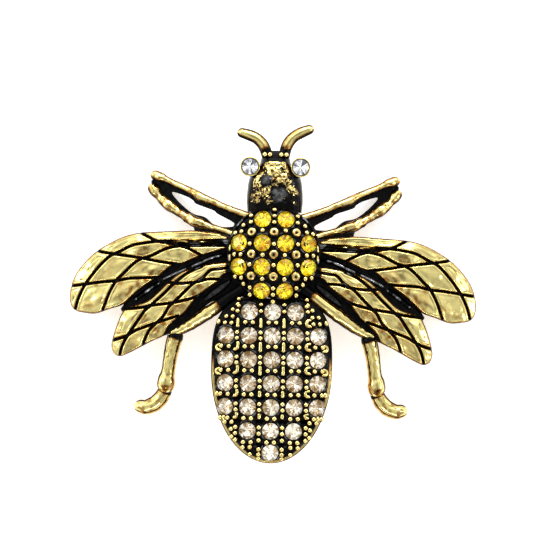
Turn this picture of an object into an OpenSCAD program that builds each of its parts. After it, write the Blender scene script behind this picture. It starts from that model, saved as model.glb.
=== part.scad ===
// Insect brooch: a cast bee with two pairs of veined wings and three pairs of legs, whose thorax
// and abdomen are paved with faceted round stones, and a straight pin with its bar on the back.
// +X is to the right as seen from the front, +Y to the head and +Z out of the front.
// The origin lies on the surface that the brooch rests on, under the middle of its outline.

/* [Stones] */
// Diameter of each round stone on the thorax and the abdomen
stone_d = 2.45; // [2.2:0.05:2.7]
// Height of a stone's crown above its girdle
stone_crown = 0.5; // [0.3:0.05:0.7]
// Thickness of a stone's girdle
stone_girdle = 0.1; // [0.06:0.02:0.2]
// Depth of a stone's pavilion below its girdle
stone_pavilion = 0.9; // [0.6:0.05:1.1]
// Width of the flat table as a share of the stone
table_share = 0.56; // [0.45:0.01:0.65]
// Diameter of each eye stone
eye_stone_d = 2.3; // [2:0.05:2.6]
// Room between a stone and its seat
seat_clearance = 0.06; // [0.04:0.01:0.08]

/* [Paving] */
// Metal between neighbouring stones in a row
stone_gap = 0.9; // [0.8:0.05:1.3]
// Metal between neighbouring rows of stones
row_gap = 1; // [0.9:0.05:1.4]
// Metal between the last row of the thorax and the first row of the abdomen
waist_gap = 0.65; // [0.5:0.05:1]
// Diameter of a small bead between the stones
bead_d = 0.66; // [0.5:0.02:0.7]
// Height of a bead above the ground that it stands on
bead_h = 0.42; // [0.3:0.02:0.6]
// Diameter of each larger ball on the thorax
ball_d = 1.4; // [1.1:0.05:1.5]
// Width of the grooves across the abdomen
groove_w = 0.3; // [0.2:0.02:0.4]
// Depth of the grooves across the abdomen
groove_depth = 0.25; // [0.15:0.05:0.4]

/* [Body] */
// Metal outside the outermost stones of the abdomen
abdomen_edge = 0.9; // [0.7:0.05:1.3]
// Metal behind the last stone, at the tail
tail_edge = 0.4; // [0.3:0.05:0.8]
// Height of the abdomen's side wall above the back
abdomen_wall = 1.5; // [1.3:0.1:2]
// Height of the abdomen's dome above its side wall
abdomen_crown = 1.6; // [1:0.1:2.2]
// Width of the bare rim round the abdomen
rim_w = 0.3; // [0.2:0.05:0.4]
// Metal outside the outermost stones of the thorax
thorax_edge = 0.55; // [0.45:0.05:0.9]
// Height of the thorax's collar above the back
thorax_wall = 2.1; // [1.8:0.1:2.6]
// Height of the thorax's dome above its collar
thorax_crown = 2.1; // [1.5:0.1:2.5]
// Length of the head, from its root in the thorax
head_len = 9; // [8:0.25:10]
// Width of the head
head_w = 8.2; // [7:0.1:9]
// Height of the head above the back
head_h = 3.2; // [2.6:0.1:3.8]
// Distance of each eye from the middle line
eye_spread = 3.68; // [3.4:0.02:3.9]
// Wall of the cup round each eye stone
eye_cup_wall = 0.22; // [0.15:0.01:0.3]
// Height of the eye cups above the back
eye_cup_h = 2.6; // [2.2:0.1:3]
// Length of an antenna, from the middle of its root to the middle of its tip
antenna_len = 4.9; // [4:0.1:6]
// Thickness of an antenna
antenna_d = 1.7; // [1.3:0.1:2]

/* [Wings] */
// Reach of the wings from the middle line
wing_reach = 30; // [27:0.5:33]
// Thickness of the wing plate
wing_t = 0.9; // [0.7:0.05:1.2]
// Height of the wing cells above the plate
cell_h = 0.5; // [0.3:0.05:0.8]
// Width of the grooves that part the wing cells
vein_w = 0.4; // [0.3:0.02:0.5]
// Width of the low edge round the cells
wing_edge = 0.2; // [0.1:0.05:0.3]
// Drop of the wing tips below the flat part of the back
wing_droop = 2.9; // [2:0.1:3.2]

/* [Legs] */
// Reach of the fore legs from the middle line
fore_leg_reach = 19; // [17:0.25:21]
// Thickness of a fore leg at its end
fore_leg_d = 1.3; // [1.1:0.05:1.5]
// Thickness of the sunk web that joins the two limbs of a fore leg
web_t = 0.7; // [0.5:0.05:0.9]
// Reach of the hind legs from the middle line
hind_leg_reach = 20.2; // [18.5:0.1:22]
// Thickness of a hind leg at its foot
hind_leg_d = 2.4; // [2:0.1:2.8]

/* [Back] */
// Height of the flat back above the surface that the brooch rests on
back_h = 3.5; // [3.4:0.1:4.2]
// Length of the bar that carries the pin
bar_len = 22; // [18:0.5:24]
// Width of that bar
bar_w = 3.4; // [2.6:0.1:4]
// Thickness of that bar
bar_t = 0.7; // [0.5:0.05:0.8]
// Thickness of the pin's wire
wire_d = 0.8; // [0.6:0.05:0.9]
// Wall of the hinge barrel and of the catch round the wire
loop_wall = 0.4; // [0.3:0.05:0.5]
// Room between the wire and the catch
catch_room = 0.15; // [0.1:0.01:0.2]

/* [Hidden] */
CHAMPAGNE_COUNT = 27;
CITRINE_COUNT = 12;
OVERLAP = 0.01;
FAR = 100;

// Rows of stones on the thorax. Columns: stones in the row, place in row pitches up from the middle.
THORAX_ROWS = [[2, 1.5], [4, 0.5], [4, -0.5], [2, -1.5]];
// Rows of stones on the abdomen. Columns: stones in the row, place in row pitches down from the first.
ABDOMEN_ROWS = [[3, 0], [5, 1], [5, 2], [5, 3], [5, 4], [3, 5], [1, 5.93]];
STONES_ACROSS_THORAX = 4;
STONES_ACROSS_ABDOMEN = 5;

// Sizes that follow the grid of stones
stone_r = stone_d / 2;
column_pitch = stone_d + stone_gap;
row_pitch = stone_d + row_gap;
// The thorax's grid of stones sits a little behind the middle of its collar.
grid_drop = 0.1 * row_pitch;
thorax_r = (STONES_ACROSS_THORAX - 1) / 2 * column_pitch + stone_r + thorax_edge;
dome_r = thorax_r - rim_w;
dome_back = 1.5 * row_pitch + grid_drop + stone_r + tail_edge;
first_row_y = -1.5 * row_pitch - grid_drop - stone_d - waist_gap;
last_row_y = first_row_y - ABDOMEN_ROWS[len(ABDOMEN_ROWS) - 1][1] * row_pitch;
abdomen_half_w = (STONES_ACROSS_ABDOMEN - 1) / 2 * column_pitch + stone_r + abdomen_edge;
abdomen_mid_y = first_row_y - 2.4 * row_pitch;
abdomen_front = first_row_y + stone_d - abdomen_mid_y;
tail_y = last_row_y - stone_r - tail_edge;
abdomen_back = abdomen_mid_y - tail_y;
// The upper half of the abdomen's outline is squarer than an ellipse.
SHOULDER_POWER = 3.2;
TAIL_POWER = 2;
DOME_POWER = 2.6;

// The head and what stands on it
head_y = thorax_r - 0.09 * head_len;
eye_y = head_y + 0.72 * head_len;
antenna_y = head_y + 0.91 * head_len;
antenna_x = 0.15 * head_w;
antenna_z = back_h + 0.4 * head_h;
eye_cup_r = eye_stone_d / 2 + seat_clearance + eye_cup_wall;
// The top of an antenna, as shares of its length and thickness, closes the outline at the front.
antenna_top_y = antenna_y + 0.7 * antenna_len + 0.5 * antenna_d;
middle_y = (antenna_top_y + tail_y) / 2;

// The bar lies against the thorax. The backs of the other parts are set forward of it, step by step.
SET_FORWARD = 0.05;
abdomen_z = back_h + SET_FORWARD;
wing_z = back_h + 2 * SET_FORWARD;
head_z = back_h + 3 * SET_FORWARD;
// Heights at which the legs leave the body and the wings begin to droop
leg_root_z = back_h + 0.9;
flat_reach = bar_len / 2;

// What differs between the two sides of the hand-finished casting.
// Columns: sign of X, how far the wings sit back, how far the fore legs sit back, turn of the antenna,
// stretch of the antenna.
SIDES = [[-1, 0, 0, 0, 1], [1, 0.45, 0.25, 6.5, 1.07]];
function side_sign(side) = side[0];
function wing_set_back(side) = side[1];
function leg_set_back(side) = side[2];
function antenna_turn(side) = side[3];
function antenna_stretch(side) = side[4];

// Outlines and veins of the wings. Columns: X and Y as shares of the reach, from the middle of the
// thorax outwards and towards the head.
FORE_WING = [
    [0, 0.075], [0.233, 0.078], [0.4, 0.1], [0.6, 0.093], [0.767, 0.053], [0.9, -0.035],
    [0.98, -0.15], [1, -0.235], [0.965, -0.3], [0.9, -0.315], [0.833, -0.305], [0.72, -0.235],
    [0.567, -0.133], [0.483, -0.067], [0.36, -0.025], [0.233, 0.017], [0, 0.027]
];
HIND_WING = [
    [0, -0.057], [0.233, -0.05], [0.367, -0.07], [0.45, -0.103], [0.513, -0.147], [0.607, -0.237],
    [0.727, -0.293], [0.777, -0.42], [0.785, -0.475], [0.765, -0.51], [0.735, -0.517],
    [0.617, -0.457], [0.52, -0.4], [0.44, -0.315], [0.367, -0.22], [0.25, -0.13], [0, -0.107]
];
// The sunk web between the wings and behind the hind wing
WING_WEB = [
    [0, 0.1], [0.233, 0.09], [0.4, 0.1], [0.55, -0.03], [0.72, -0.26], [0.73, -0.3],
    [0.6, -0.42], [0.515, -0.415], [0.43, -0.35], [0.25, -0.22], [0, -0.2]
];
FORE_VEINS = [
    [[0.2, 0.037], [0.433, 0.035], [0.567, 0.043], [0.65, 0.033], [0.733, 0.003],
     [0.8, -0.032], [0.857, -0.09], [0.907, -0.157], [0.97, -0.32]],
    [[0.433, 0.033], [0.507, 0.017], [0.643, -0.04], [0.7, -0.083],
     [0.767, -0.15], [0.842, -0.33]],
    [[0.68, 0.1], [0.617, 0.07], [0.55, 0.043], [0.433, 0.018], [0.33, -0.03]],
    [[0.9, -0.003], [0.8, -0.017], [0.643, -0.04], [0.43, -0.067]],
    [[1.02, -0.187], [0.767, -0.148], [0.667, -0.135], [0.54, -0.13]]
];
HIND_VEINS = [
    [[0.2, -0.078], [0.307, -0.093], [0.343, -0.123], [0.44, -0.21],
     [0.493, -0.257], [0.53, -0.313], [0.603, -0.397], [0.635, -0.48]],
    [[0.35, -0.065], [0.46, -0.14], [0.577, -0.253],
     [0.623, -0.297], [0.703, -0.413], [0.748, -0.53]],
    [[0.56, -0.145], [0.45, -0.157], [0.35, -0.142], [0.24, -0.133]],
    [[0.74, -0.292], [0.633, -0.277], [0.433, -0.24], [0.34, -0.2]],
    [[0.8, -0.447], [0.717, -0.42], [0.617, -0.37], [0.44, -0.31]]
];

// The two limbs of a fore leg and the slit between them. Columns: X and Y as shares of the reach,
// and the radius as a share of the leg's thickness.
FORE_LIMB = [
    [0.184, 0.274, 0.4], [0.368, 0.339, 0.36], [0.474, 0.384, 0.385], [0.579, 0.424, 0.55],
    [0.642, 0.463, 0.4], [0.821, 0.542, 0.34], [0.879, 0.571, 0.47], [0.935, 0.588, 0.5]
];
MID_LIMB = [
    [0.3, 0.137, 0.41], [0.526, 0.197, 0.42], [0.605, 0.226, 0.6], [0.684, 0.261, 0.48],
    [0.763, 0.311, 0.48], [0.826, 0.358, 0.58], [0.868, 0.395, 0.46], [0.905, 0.434, 0.4],
    [0.955, 0.487, 0.48]
];
LEG_SLIT = [
    [0.8, 0.46], [0.684, 0.426], [0.632, 0.395], [0.605, 0.368], [0.474, 0.321], [0.442, 0.295],
    [0.321, 0.232], [0.313, 0.205], [0.337, 0.195], [0.421, 0.195], [0.474, 0.216],
    [0.537, 0.268], [0.632, 0.295], [0.737, 0.379]
];

// The hind leg. Columns: X and Y as shares of the reach, the radius as a share of the leg's
// thickness, and the rise from 0, lying on the ground, to 1, at the leg's root.
THIGH = [
    [0.22, -0.26, 0.33, 1], [0.396, -0.391, 0.396, 0.92], [0.495, -0.46, 0.417, 0.84],
    [0.594, -0.527, 0.375, 0.76], [0.673, -0.569, 0.35, 0.7], [0.708, -0.584, 0.335, 0.69]
];
SHIN = [
    [0.703, -0.61, 0.49, 0.62], [0.723, -0.693, 0.5, 0.56], [0.74, -0.792, 0.458, 0.48],
    [0.752, -0.876, 0.446, 0.4], [0.765, -0.936, 0.54, 0.34], [0.768, -0.975, 0.56, 0.28]
];
FOOT = [
    [0.777, -1.02, 0.44, 0.2], [0.802, -1.069, 0.5, 0.12], [0.847, -1.114, 0.52, 0.05],
    [0.906, -1.139, 0.5, 0], [0.948, -1.136, 0.45, 0]
];

// An antenna. Columns: X outwards and Y forwards as shares of its length, and the radius as a share
// of its thickness.
ANTENNA = [
    [0, 0, 0.5], [0.08, 0.2, 0.5], [0.19, 0.37, 0.51], [0.36, 0.5, 0.51], [0.54, 0.58, 0.47],
    [0.755, 0.643, 0.38]
];

// Sections of the head. Columns: place along its length, half its width there and its height there,
// each as a share of the head's own size.
HEAD_SECTIONS = [
    [0, 0.9, 0.7], [0.2, 1, 0.84], [0.4, 0.99, 0.96], [0.54, 0.955, 1], [0.64, 0.88, 1],
    [0.72, 0.66, 0.97], [0.82, 0.56, 0.88], [0.92, 0.52, 0.68], [1, 0.42, 0.42]
];

// Beads on the thorax, mirrored to both sides. Columns: X in column pitches and Y in row pitches,
// both from the middle of the grid of stones.
THORAX_BEADS = [
    [0, 1.86], [0, 1.6], [0, 1.34], [0.97, 1.6], [0.97, 1.33], [0.48, 1], [1.28, 1.2],
    [1.36, 0.94], [1.62, 0.88], [0, 0.45], [1, 0.45], [0.46, 0], [1.38, 0], [1.65, 0], [0, -0.41],
    [1, -0.4], [0.46, -0.98], [1.34, -0.95], [1.6, -0.91], [0, -1.36], [0.97, -1.34], [0, -1.62],
    [0.97, -1.64], [1.24, -1.2], [0, -1.9]
];
// The larger balls, in the same columns
THORAX_BALLS = [[0, 0.93], [0.925, 0.92], [0, 0.02], [0.925, 0.02], [0, -0.88], [0.925, -0.87]];

// Beads in each gap between two stones of a row of the abdomen, one line for each row.
// Columns: places of two beads and of the last, long one, in row pitches, and its length in beads.
GAP_BEADS = [
    [0.28, 0, -0.46, 1.9], [0.12, -0.12, -0.46, 1.9], [0.1, -0.14, -0.45, 1.8],
    [0.11, -0.15, -0.43, 1.3], [0.14, -0.11, -0.37, 1], [0.16, -0.1, -0.38, 1],
    [0.15, -0.14, -0.36, 1]
];
// Other beads of the abdomen, mirrored. Columns: row, X in column pitches, Y in row pitches from it.
LOOSE_BEADS = [
    [0, 1.7, 0.06], [0, 1.7, -0.23], [0, 1.97, -0.23], [0, 1.75, -0.5], [0, 2.02, -0.5],
    [5, 1.68, 0.07], [5, 1.66, -0.25], [5, 1.66, 0.37], [5, 1.95, 0.36],
    [6, 0.87, 0.26], [6, 0.87, -0.05], [6, 1.18, 0.24]
];
// The line of beads below each stone of the abdomen, and the groove behind it
LINE_STEP = 0.16;
LINE_PLACE = -0.465;
GROOVE_PLACE = -0.62;
GROOVED_ROWS = [2, 3, 4, 5];
RIM_BEAD_ROWS = [0, 1, 2, 3, 4];

// General functions
function unit(v) = v / norm(v);
function flat(lists) = [for (list = lists) for (item = list) item];
function spline(a, b, c, d, t) =
    0.5 * (2 * b + (c - a) * t + (2 * a - 5 * b + 4 * c - d) * t * t
    + (3 * b - a - 3 * c + d) * t * t * t);
// A closed curve through the points, with the given steps between two of them
function closed_curve(points, steps) =
    let (n = len(points))
    [for (i = [0 : n - 1]) for (k = [0 : steps - 1])
        spline(points[(i + n - 1) % n], points[i], points[(i + 1) % n], points[(i + 2) % n], k / steps)];
// An open curve through the rows of a table, end to end
function open_curve(rows, steps) =
    let (last = len(rows) - 1)
    concat(
        [for (i = [0 : last - 1]) for (k = [0 : steps - 1])
            spline(rows[max(i - 1, 0)], rows[i], rows[i + 1], rows[min(i + 2, last)], k / steps)],
        [rows[last]]
    );
function heading(path, i) =
    let (a = path[max(i - 1, 0)], b = path[min(i + 1, len(path) - 1)])
    unit([b.x - a.x, b.y - a.y]);
// The outline of a stroke of one width along a path
function stroke(path, width) =
    let (
        last = len(path) - 1,
        edge = function (i, way) path[i] + way * width / 2 * [-heading(path, i).y, heading(path, i).x]
    )
    concat([for (i = [0 : last]) edge(i, 1)], [for (i = [last : -1 : 0]) edge(i, -1)]);

// A closed solid through rings of equally many points
module rings_solid(rings) {
    sides = len(rings[0]);
    last = len(rings) - 1;
    corner = function (i, k) i * sides + k % sides;
    bands = [for (i = [0 : last - 1]) for (k = [0 : sides - 1])
        [corner(i, k), corner(i + 1, k), corner(i + 1, k + 1), corner(i, k + 1)]];
    first_cap = [for (k = [0 : sides - 1]) k];
    last_cap = [for (k = [sides - 1 : -1 : 0]) last * sides + k];
    polyhedron(points = flat(rings), faces = concat([first_cap], bands, [last_cap]));
}

// A limb with rounded ends along a path. Columns of the path: X, Y, Z and radius.
module limb(path, sides) {
    last = len(path) - 1;
    station = function (i, ahead, share) let (p = path[i], dir = heading(path, i))
        [p.x + dir.x * ahead * p[3], p.y + dir.y * ahead * p[3], p.z, p[3] * share];
    stations = concat(
        [station(0, -0.8, 0.6)],
        path,
        [station(last, 0.65, 0.75), station(last, 0.95, 0.3)]
    );
    rings_solid([for (i = [0 : len(stations) - 1])
        let (p = stations[i], dir = heading(stations, i))
        [for (k = [0 : sides - 1])
            let (a = (k + 0.5) * 360 / sides, r = p[3])
            [p.x - dir.y * r * cos(a), p.y + dir.x * r * cos(a), p.z + r * sin(a)]]]);
}

// Height of a limb's middle, from a rise of 0 on the ground to 1 at its root
FOOT_SINK = 0.85;
function limb_z(rise, radius) = rise * leg_root_z + (1 - rise) * FOOT_SINK * radius;

// Stones

// A brilliant with an octagonal table, crown and girdle facets and a pointed pavilion
TABLE_SIDES = 8;
GIRDLE_SIDES = 2 * TABLE_SIDES;
module brilliant(d) {
    table_z = stone_crown + stone_girdle / 2;
    girdle_z = stone_girdle / 2;
    ring = function (count, r, z) [for (k = [0 : count - 1])
        let (a = k * 360 / count)
        [r * cos(a), r * sin(a), z]];
    points = concat(
        ring(TABLE_SIDES, d / 2 * table_share, table_z),
        ring(GIRDLE_SIDES, d / 2, girdle_z),
        ring(GIRDLE_SIDES, d / 2, -girdle_z),
        [[0, 0, -girdle_z - stone_pavilion]]
    );
    top = TABLE_SIDES;
    low = TABLE_SIDES + GIRDLE_SIDES;
    tip = low + GIRDLE_SIDES;
    wrap = function (k) (k + GIRDLE_SIDES) % GIRDLE_SIDES;
    faces = concat(
        [[for (k = [TABLE_SIDES - 1 : -1 : 0]) k]],
        [for (k = [0 : TABLE_SIDES - 1]) [k, top + wrap(2 * k + 1), top + wrap(2 * k)]],
        [for (k = [0 : TABLE_SIDES - 1]) [k, top + wrap(2 * k), top + wrap(2 * k - 1)]],
        [for (k = [0 : TABLE_SIDES - 1]) [k, (k + 1) % TABLE_SIDES, top + wrap(2 * k + 1)]],
        [for (k = [0 : GIRDLE_SIDES - 1]) [top + k, top + wrap(k + 1), low + wrap(k + 1), low + k]],
        [for (k = [0 : GIRDLE_SIDES - 1]) [low + k, low + wrap(k + 1), tip]]
    );
    polyhedron(points = points, faces = faces);
}

// The conical pocket under a stone, which ends just below the girdle
SEAT_SIDES = 8;
module seat(d) {
    slope = stone_pavilion / (d / 2);
    drop = seat_clearance * sqrt(1 + slope * slope);
    depth = stone_pavilion + drop;
    half_side = 180 / SEAT_SIDES;
    translate([0, 0, -stone_girdle / 2 - depth])
        rotate([0, 0, half_side])
            cylinder(r1 = 0, r2 = depth / slope / cos(half_side), h = depth, $fn = SEAT_SIDES);
}

// Where the stones of the paving lie. Columns: X, Y.
function thorax_place(column, row) = [column * column_pitch, row * row_pitch - grid_drop];
function abdomen_place(column, row) =
    [column * column_pitch, first_row_y - ABDOMEN_ROWS[row][1] * row_pitch];
THORAX_STONES = [for (row = THORAX_ROWS) for (i = [0 : row[0] - 1])
    thorax_place(i - (row[0] - 1) / 2, row[1])];
ABDOMEN_STONES = [for (r = [0 : len(ABDOMEN_ROWS) - 1]) for (i = [0 : ABDOMEN_ROWS[r][0] - 1])
    abdomen_place(i - (ABDOMEN_ROWS[r][0] - 1) / 2, r)];

// The ground that the stones and beads stand on. Its height is the sum of a value looked up along X
// and one looked up along Y, with the columns and the rows of stones as the places of both tables.
// Places and heights are rounded to a thousandth, which keeps each facet of the ground flat.
function rounded(table) = [for (row = table) [round(1000 * row[0]) / 1000, round(1000 * row[1]) / 1000]];
function dome_drop(share, crown, power) = -crown * pow(abs(share), power);
THORAX_ACROSS = rounded([for (x = concat([-dome_r], column_pitch * [-1.5, -0.5, 0.5, 1.5], [dome_r]))
    [x, back_h + thorax_wall + thorax_crown + dome_drop(x / dome_r, thorax_crown, 2)]]);
THORAX_PLACES = concat([-dome_back], [for (row = [3 : -1 : 0]) thorax_row_y(row)], [dome_r]);
THORAX_ALONG = rounded([for (y = THORAX_PLACES)
    [y, dome_drop(y / (1.15 * dome_r), thorax_crown, 2)]]);
function thorax_row_y(row) = thorax_place(0, THORAX_ROWS[row][1]).y;
function thorax_top(p) = lookup(p.x, THORAX_ACROSS) + lookup(p.y, THORAX_ALONG);

function abdomen_reach(y) = y > abdomen_mid_y ? abdomen_front : abdomen_back;
function abdomen_power(y) = y > abdomen_mid_y ? SHOULDER_POWER : TAIL_POWER;
function abdomen_half_width(y) =
    let (power = abdomen_power(y))
    abdomen_half_w * pow(1 - pow(abs(y - abdomen_mid_y) / abdomen_reach(y), power), 1 / power);
function along_abdomen(y, sunk) =
    [y, dome_drop((y - abdomen_mid_y) / abdomen_reach(y), abdomen_crown, DOME_POWER) - sunk];
function groove_stations(row) =
    let (y = abdomen_place(0, row).y + GROOVE_PLACE * row_pitch, half = groove_w / 2)
    [along_abdomen(y - half, 0), along_abdomen(y, groove_depth), along_abdomen(y + half, 0)];
function row_stations(row) = concat(
    len(search(row, GROOVED_ROWS)) > 0 ? groove_stations(row) : [],
    [along_abdomen(abdomen_place(0, row).y, 0)]
);
abdomen_top_z = back_h + abdomen_wall + abdomen_crown;
ABDOMEN_PLACES = concat([-abdomen_half_w], column_pitch * [-2, -1, 0, 1, 2], [abdomen_half_w]);
ABDOMEN_ACROSS = rounded([for (x = ABDOMEN_PLACES)
    [x, abdomen_top_z + dome_drop(x / abdomen_half_w, abdomen_crown, DOME_POWER)]]);
ABDOMEN_ALONG = rounded(concat(
    [along_abdomen(tail_y, 0)],
    flat([for (row = [len(ABDOMEN_ROWS) - 1 : -1 : 0]) row_stations(row)]),
    [along_abdomen(first_row_y + stone_d, 0)]
));
function abdomen_top(p) = lookup(p.x, ABDOMEN_ACROSS) + lookup(p.y, ABDOMEN_ALONG);

// Puts what stands on a surface at a point of it, square to the surface
NEAR = 0.05;
module on_surface(top, p) {
    slope_x = (top(p + [NEAR, 0]) - top(p - [NEAR, 0])) / (2 * NEAR);
    slope_y = (top(p + [0, NEAR]) - top(p - [0, NEAR])) / (2 * NEAR);
    lean = atan(norm([slope_x, slope_y]));
    translate([p.x, p.y, top(p)])
        rotate(lean, [slope_y, -slope_x, 0])
            children();
}
on_thorax = function (p) thorax_top(p);
on_abdomen = function (p) abdomen_top(p);

// Each stone is turned a little differently about its own axis, as a setter drops them in.
STONE_LIFT = 0.1;
function stone_turn(i) = (i * 37) % 45;

module citrine_stone(i) {
    color("gold")
        on_surface(on_thorax, THORAX_STONES[i])
            translate([0, 0, STONE_LIFT])
                rotate([0, 0, stone_turn(i)])
                    brilliant(stone_d);
}

module champagne_stone(i) {
    color("bisque")
        on_surface(on_abdomen, ABDOMEN_STONES[i])
            translate([0, 0, STONE_LIFT])
                rotate([0, 0, stone_turn(i + CITRINE_COUNT)])
                    brilliant(stone_d);
}

module eye_stone(sign) {
    color("white")
        translate([sign * eye_spread, eye_y, back_h + eye_cup_h])
            rotate([0, 0, sign * 11])
                brilliant(eye_stone_d);
}

module seats() {
    for (p = THORAX_STONES)
        on_surface(on_thorax, p)
            translate([0, 0, STONE_LIFT])
                seat(stone_d);
    for (p = ABDOMEN_STONES)
        on_surface(on_abdomen, p)
            translate([0, 0, STONE_LIFT])
                seat(stone_d);
    for (side = SIDES)
        translate([side_sign(side) * eye_spread, eye_y, back_h + eye_cup_h]) {
            seat(eye_stone_d);
            translate([0, 0, -stone_girdle / 2 - OVERLAP])
                cylinder(r = eye_stone_d / 2 + seat_clearance, h = stone_d, $fn = EYE_CUP_SIDES);
        }
}

// Beads

BEAD_SINK = 0.15;
module bead(sides = 5, long = 1) {
    translate([0, 0, -BEAD_SINK])
        scale([1, long, 1])
            cylinder(d1 = bead_d, d2 = 0.55 * bead_d, h = BEAD_SINK + bead_h, $fn = sides);
}
module ball() {
    hull() {
        translate([0, 0, -BEAD_SINK])
            cylinder(d = ball_d, h = BEAD_SINK + 0.2 * ball_d, $fn = 8);
        cylinder(d = 0.55 * ball_d, h = 0.5 * ball_d, $fn = 8);
    }
}

module thorax_beads() {
    for (b = THORAX_BEADS)
        for (sign = b.x > 0 ? [-1, 1] : [1])
            on_surface(on_thorax, thorax_place(sign * b.x, b.y))
                bead();
    for (b = THORAX_BALLS)
        for (sign = b.x > 0 ? [-1, 1] : [1])
            on_surface(on_thorax, thorax_place(sign * b.x, b.y))
                ball();
}

module abdomen_bead(row, x, dy, sides = 5, long = 1) {
    base = abdomen_place(x, row);
    on_surface(on_abdomen, base + [0, dy * row_pitch])
        bead(sides, long);
}

module abdomen_beads() {
    for (r = [0 : len(ABDOMEN_ROWS) - 1]) {
        stones = ABDOMEN_ROWS[r][0];
        outer = stones < STONES_ACROSS_ABDOMEN ? stones / 2 : stones / 2 - 1;
        for (x = [-outer : outer]) {
            abdomen_bead(r, x, GAP_BEADS[r][0]);
            abdomen_bead(r, x, GAP_BEADS[r][1]);
            abdomen_bead(r, x, GAP_BEADS[r][2], 6, GAP_BEADS[r][3]);
        }
        if (stones > 1)
            for (i = [0 : stones - 1])
                for (step = [-LINE_STEP, LINE_STEP])
                    abdomen_bead(r, i - (stones - 1) / 2 + step, LINE_PLACE, 4);
    }
    for (b = LOOSE_BEADS)
        for (sign = [-1, 1])
            abdomen_bead(b[0], sign * b[1], b[2]);
    for (r = RIM_BEAD_ROWS)
        for (sign = [-1, 1])
            abdomen_bead(r, sign * rim_bead_column(r), LINE_PLACE, 4);
}
// The column at which a bead stands just inside the rim
function rim_bead_column(row) =
    let (y = abdomen_place(0, row).y + LINE_PLACE * row_pitch)
    (abdomen_half_width(y) - rim_w - 0.6 * bead_d) / column_pitch;

// Body

// A block with an upright side all round under a domed top
module domed_block(across, along) {
    last = len(across) - 1;
    block_z = back_h + 0.5;
    intersection() {
        rings_solid([for (station = along)
            let (y = station[0])
            concat(
                [[across[0][0], y, block_z]],
                [for (place = across) [place[0], y, place[1] + station[1]]],
                [[across[last][0], y, block_z]]
            )]);
        linear_extrude(FAR, center = true)
            children();
    }
}

OUTLINE_SIDES = 36;
function signed_power(v, power) = sign(v) * pow(abs(v), power);
function abdomen_outline() = [for (k = [0 : OUTLINE_SIDES - 1])
    let (a = k * 360 / OUTLINE_SIDES, ahead = sin(a) > 0)
    let (power = ahead ? SHOULDER_POWER : TAIL_POWER, reach = ahead ? abdomen_front : abdomen_back)
    [
        abdomen_half_w * signed_power(cos(a), 2 / power),
        abdomen_mid_y + reach * signed_power(sin(a), 2 / power)
    ]];

module abdomen() {
    translate([0, 0, abdomen_z])
        linear_extrude(abdomen_wall - rim_w)
            polygon(abdomen_outline());
    domed_block(ABDOMEN_ACROSS, ABDOMEN_ALONG)
        offset(delta = -rim_w)
            polygon(abdomen_outline());
}

module thorax() {
    translate([0, 0, back_h])
        cylinder(r = thorax_r, h = thorax_wall, $fn = OUTLINE_SIDES);
    domed_block(THORAX_ACROSS, THORAX_ALONG)
        union() {
            circle(r = dome_r, $fn = OUTLINE_SIDES);
            translate([-dome_r * sin(45), -dome_back])
                square([2 * dome_r * sin(45), dome_back]);
        }
}

HEAD_POINTS = 9;
module head() {
    section = function (row) [for (k = [0 : HEAD_POINTS])
        let (a = k * 180 / HEAD_POINTS)
        [
            -head_w / 2 * row[1] * signed_power(cos(a), 0.75),
            head_y + head_len * row[0],
            head_z + head_h * row[2] * signed_power(sin(a), 0.85)
        ]];
    rings_solid([for (row = HEAD_SECTIONS) section(row)]);
}

// A cup for an eye stone, carried on the side of the head
EYE_CUP_SIDES = 20;
module eye_cup(sign) {
    translate([sign * eye_spread, eye_y, back_h + 0.35 * eye_cup_h])
        cylinder(r = eye_cup_r, h = 0.65 * eye_cup_h + stone_girdle, $fn = EYE_CUP_SIDES);
    hull() {
        translate([sign * eye_spread, eye_y, back_h + 0.35 * eye_cup_h])
            cylinder(r = 0.8 * eye_cup_r, h = 0.3 * eye_cup_h, $fn = 8);
        translate([sign * 0.5 * eye_spread, eye_y - 0.5 * eye_cup_r, head_z + SET_FORWARD])
            cylinder(r = eye_cup_r, h = 0.5 * eye_cup_h, $fn = 8);
    }
}

module antenna(side) {
    length = antenna_len * antenna_stretch(side);
    translate([antenna_x, antenna_y, antenna_z]) {
        rotate([0, 0, antenna_turn(side)])
            limb([for (row = ANTENNA) [length * row.x, length * row.y, 0, antenna_d * row[2]]], 8);
        for (x = [-1, 1])
            translate([x * 0.5 * bead_d, 0, 0.42 * antenna_d])
                bead();
    }
}

// Wings

// A slab that is flat near the body and droops towards the wing tips
DROOP_STEPS = 5;
function droop(x) = wing_droop * pow(max(x - flat_reach, 0) / (wing_reach - flat_reach), 2);
module drooped_slab(low, high) {
    step = (1.04 * wing_reach - flat_reach) / DROOP_STEPS;
    stations = concat([0], [for (k = [0 : DROOP_STEPS]) flat_reach + k * step]);
    last = len(stations) - 1;
    rotate([90, 0, 0])
        linear_extrude(FAR, center = true)
            polygon(concat(
                [for (x = stations) [x, wing_z + low - droop(x)]],
                [for (i = [last : -1 : 0]) [stations[i], wing_z + high - droop(stations[i])]]
            ));
}

module upright(points) {
    linear_extrude(FAR, center = true)
        polygon(wing_reach * points);
}

module wing_cells(outline, veins) {
    intersection() {
        drooped_slab(wing_t - OVERLAP, wing_t + cell_h);
        linear_extrude(FAR, center = true)
            difference() {
                offset(delta = -wing_edge)
                    polygon(wing_reach * outline);
                for (vein = veins)
                    polygon(stroke(wing_reach * open_curve(vein, 1), vein_w));
            }
    }
}

module wings() {
    intersection() {
        drooped_slab(0, wing_t);
        union() {
            upright(closed_curve(FORE_WING, 2));
            upright(closed_curve(HIND_WING, 2));
            upright(WING_WEB);
        }
    }
    wing_cells(FORE_WING, FORE_VEINS);
    wing_cells(HIND_WING, HIND_VEINS);
}

// Legs

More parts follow.
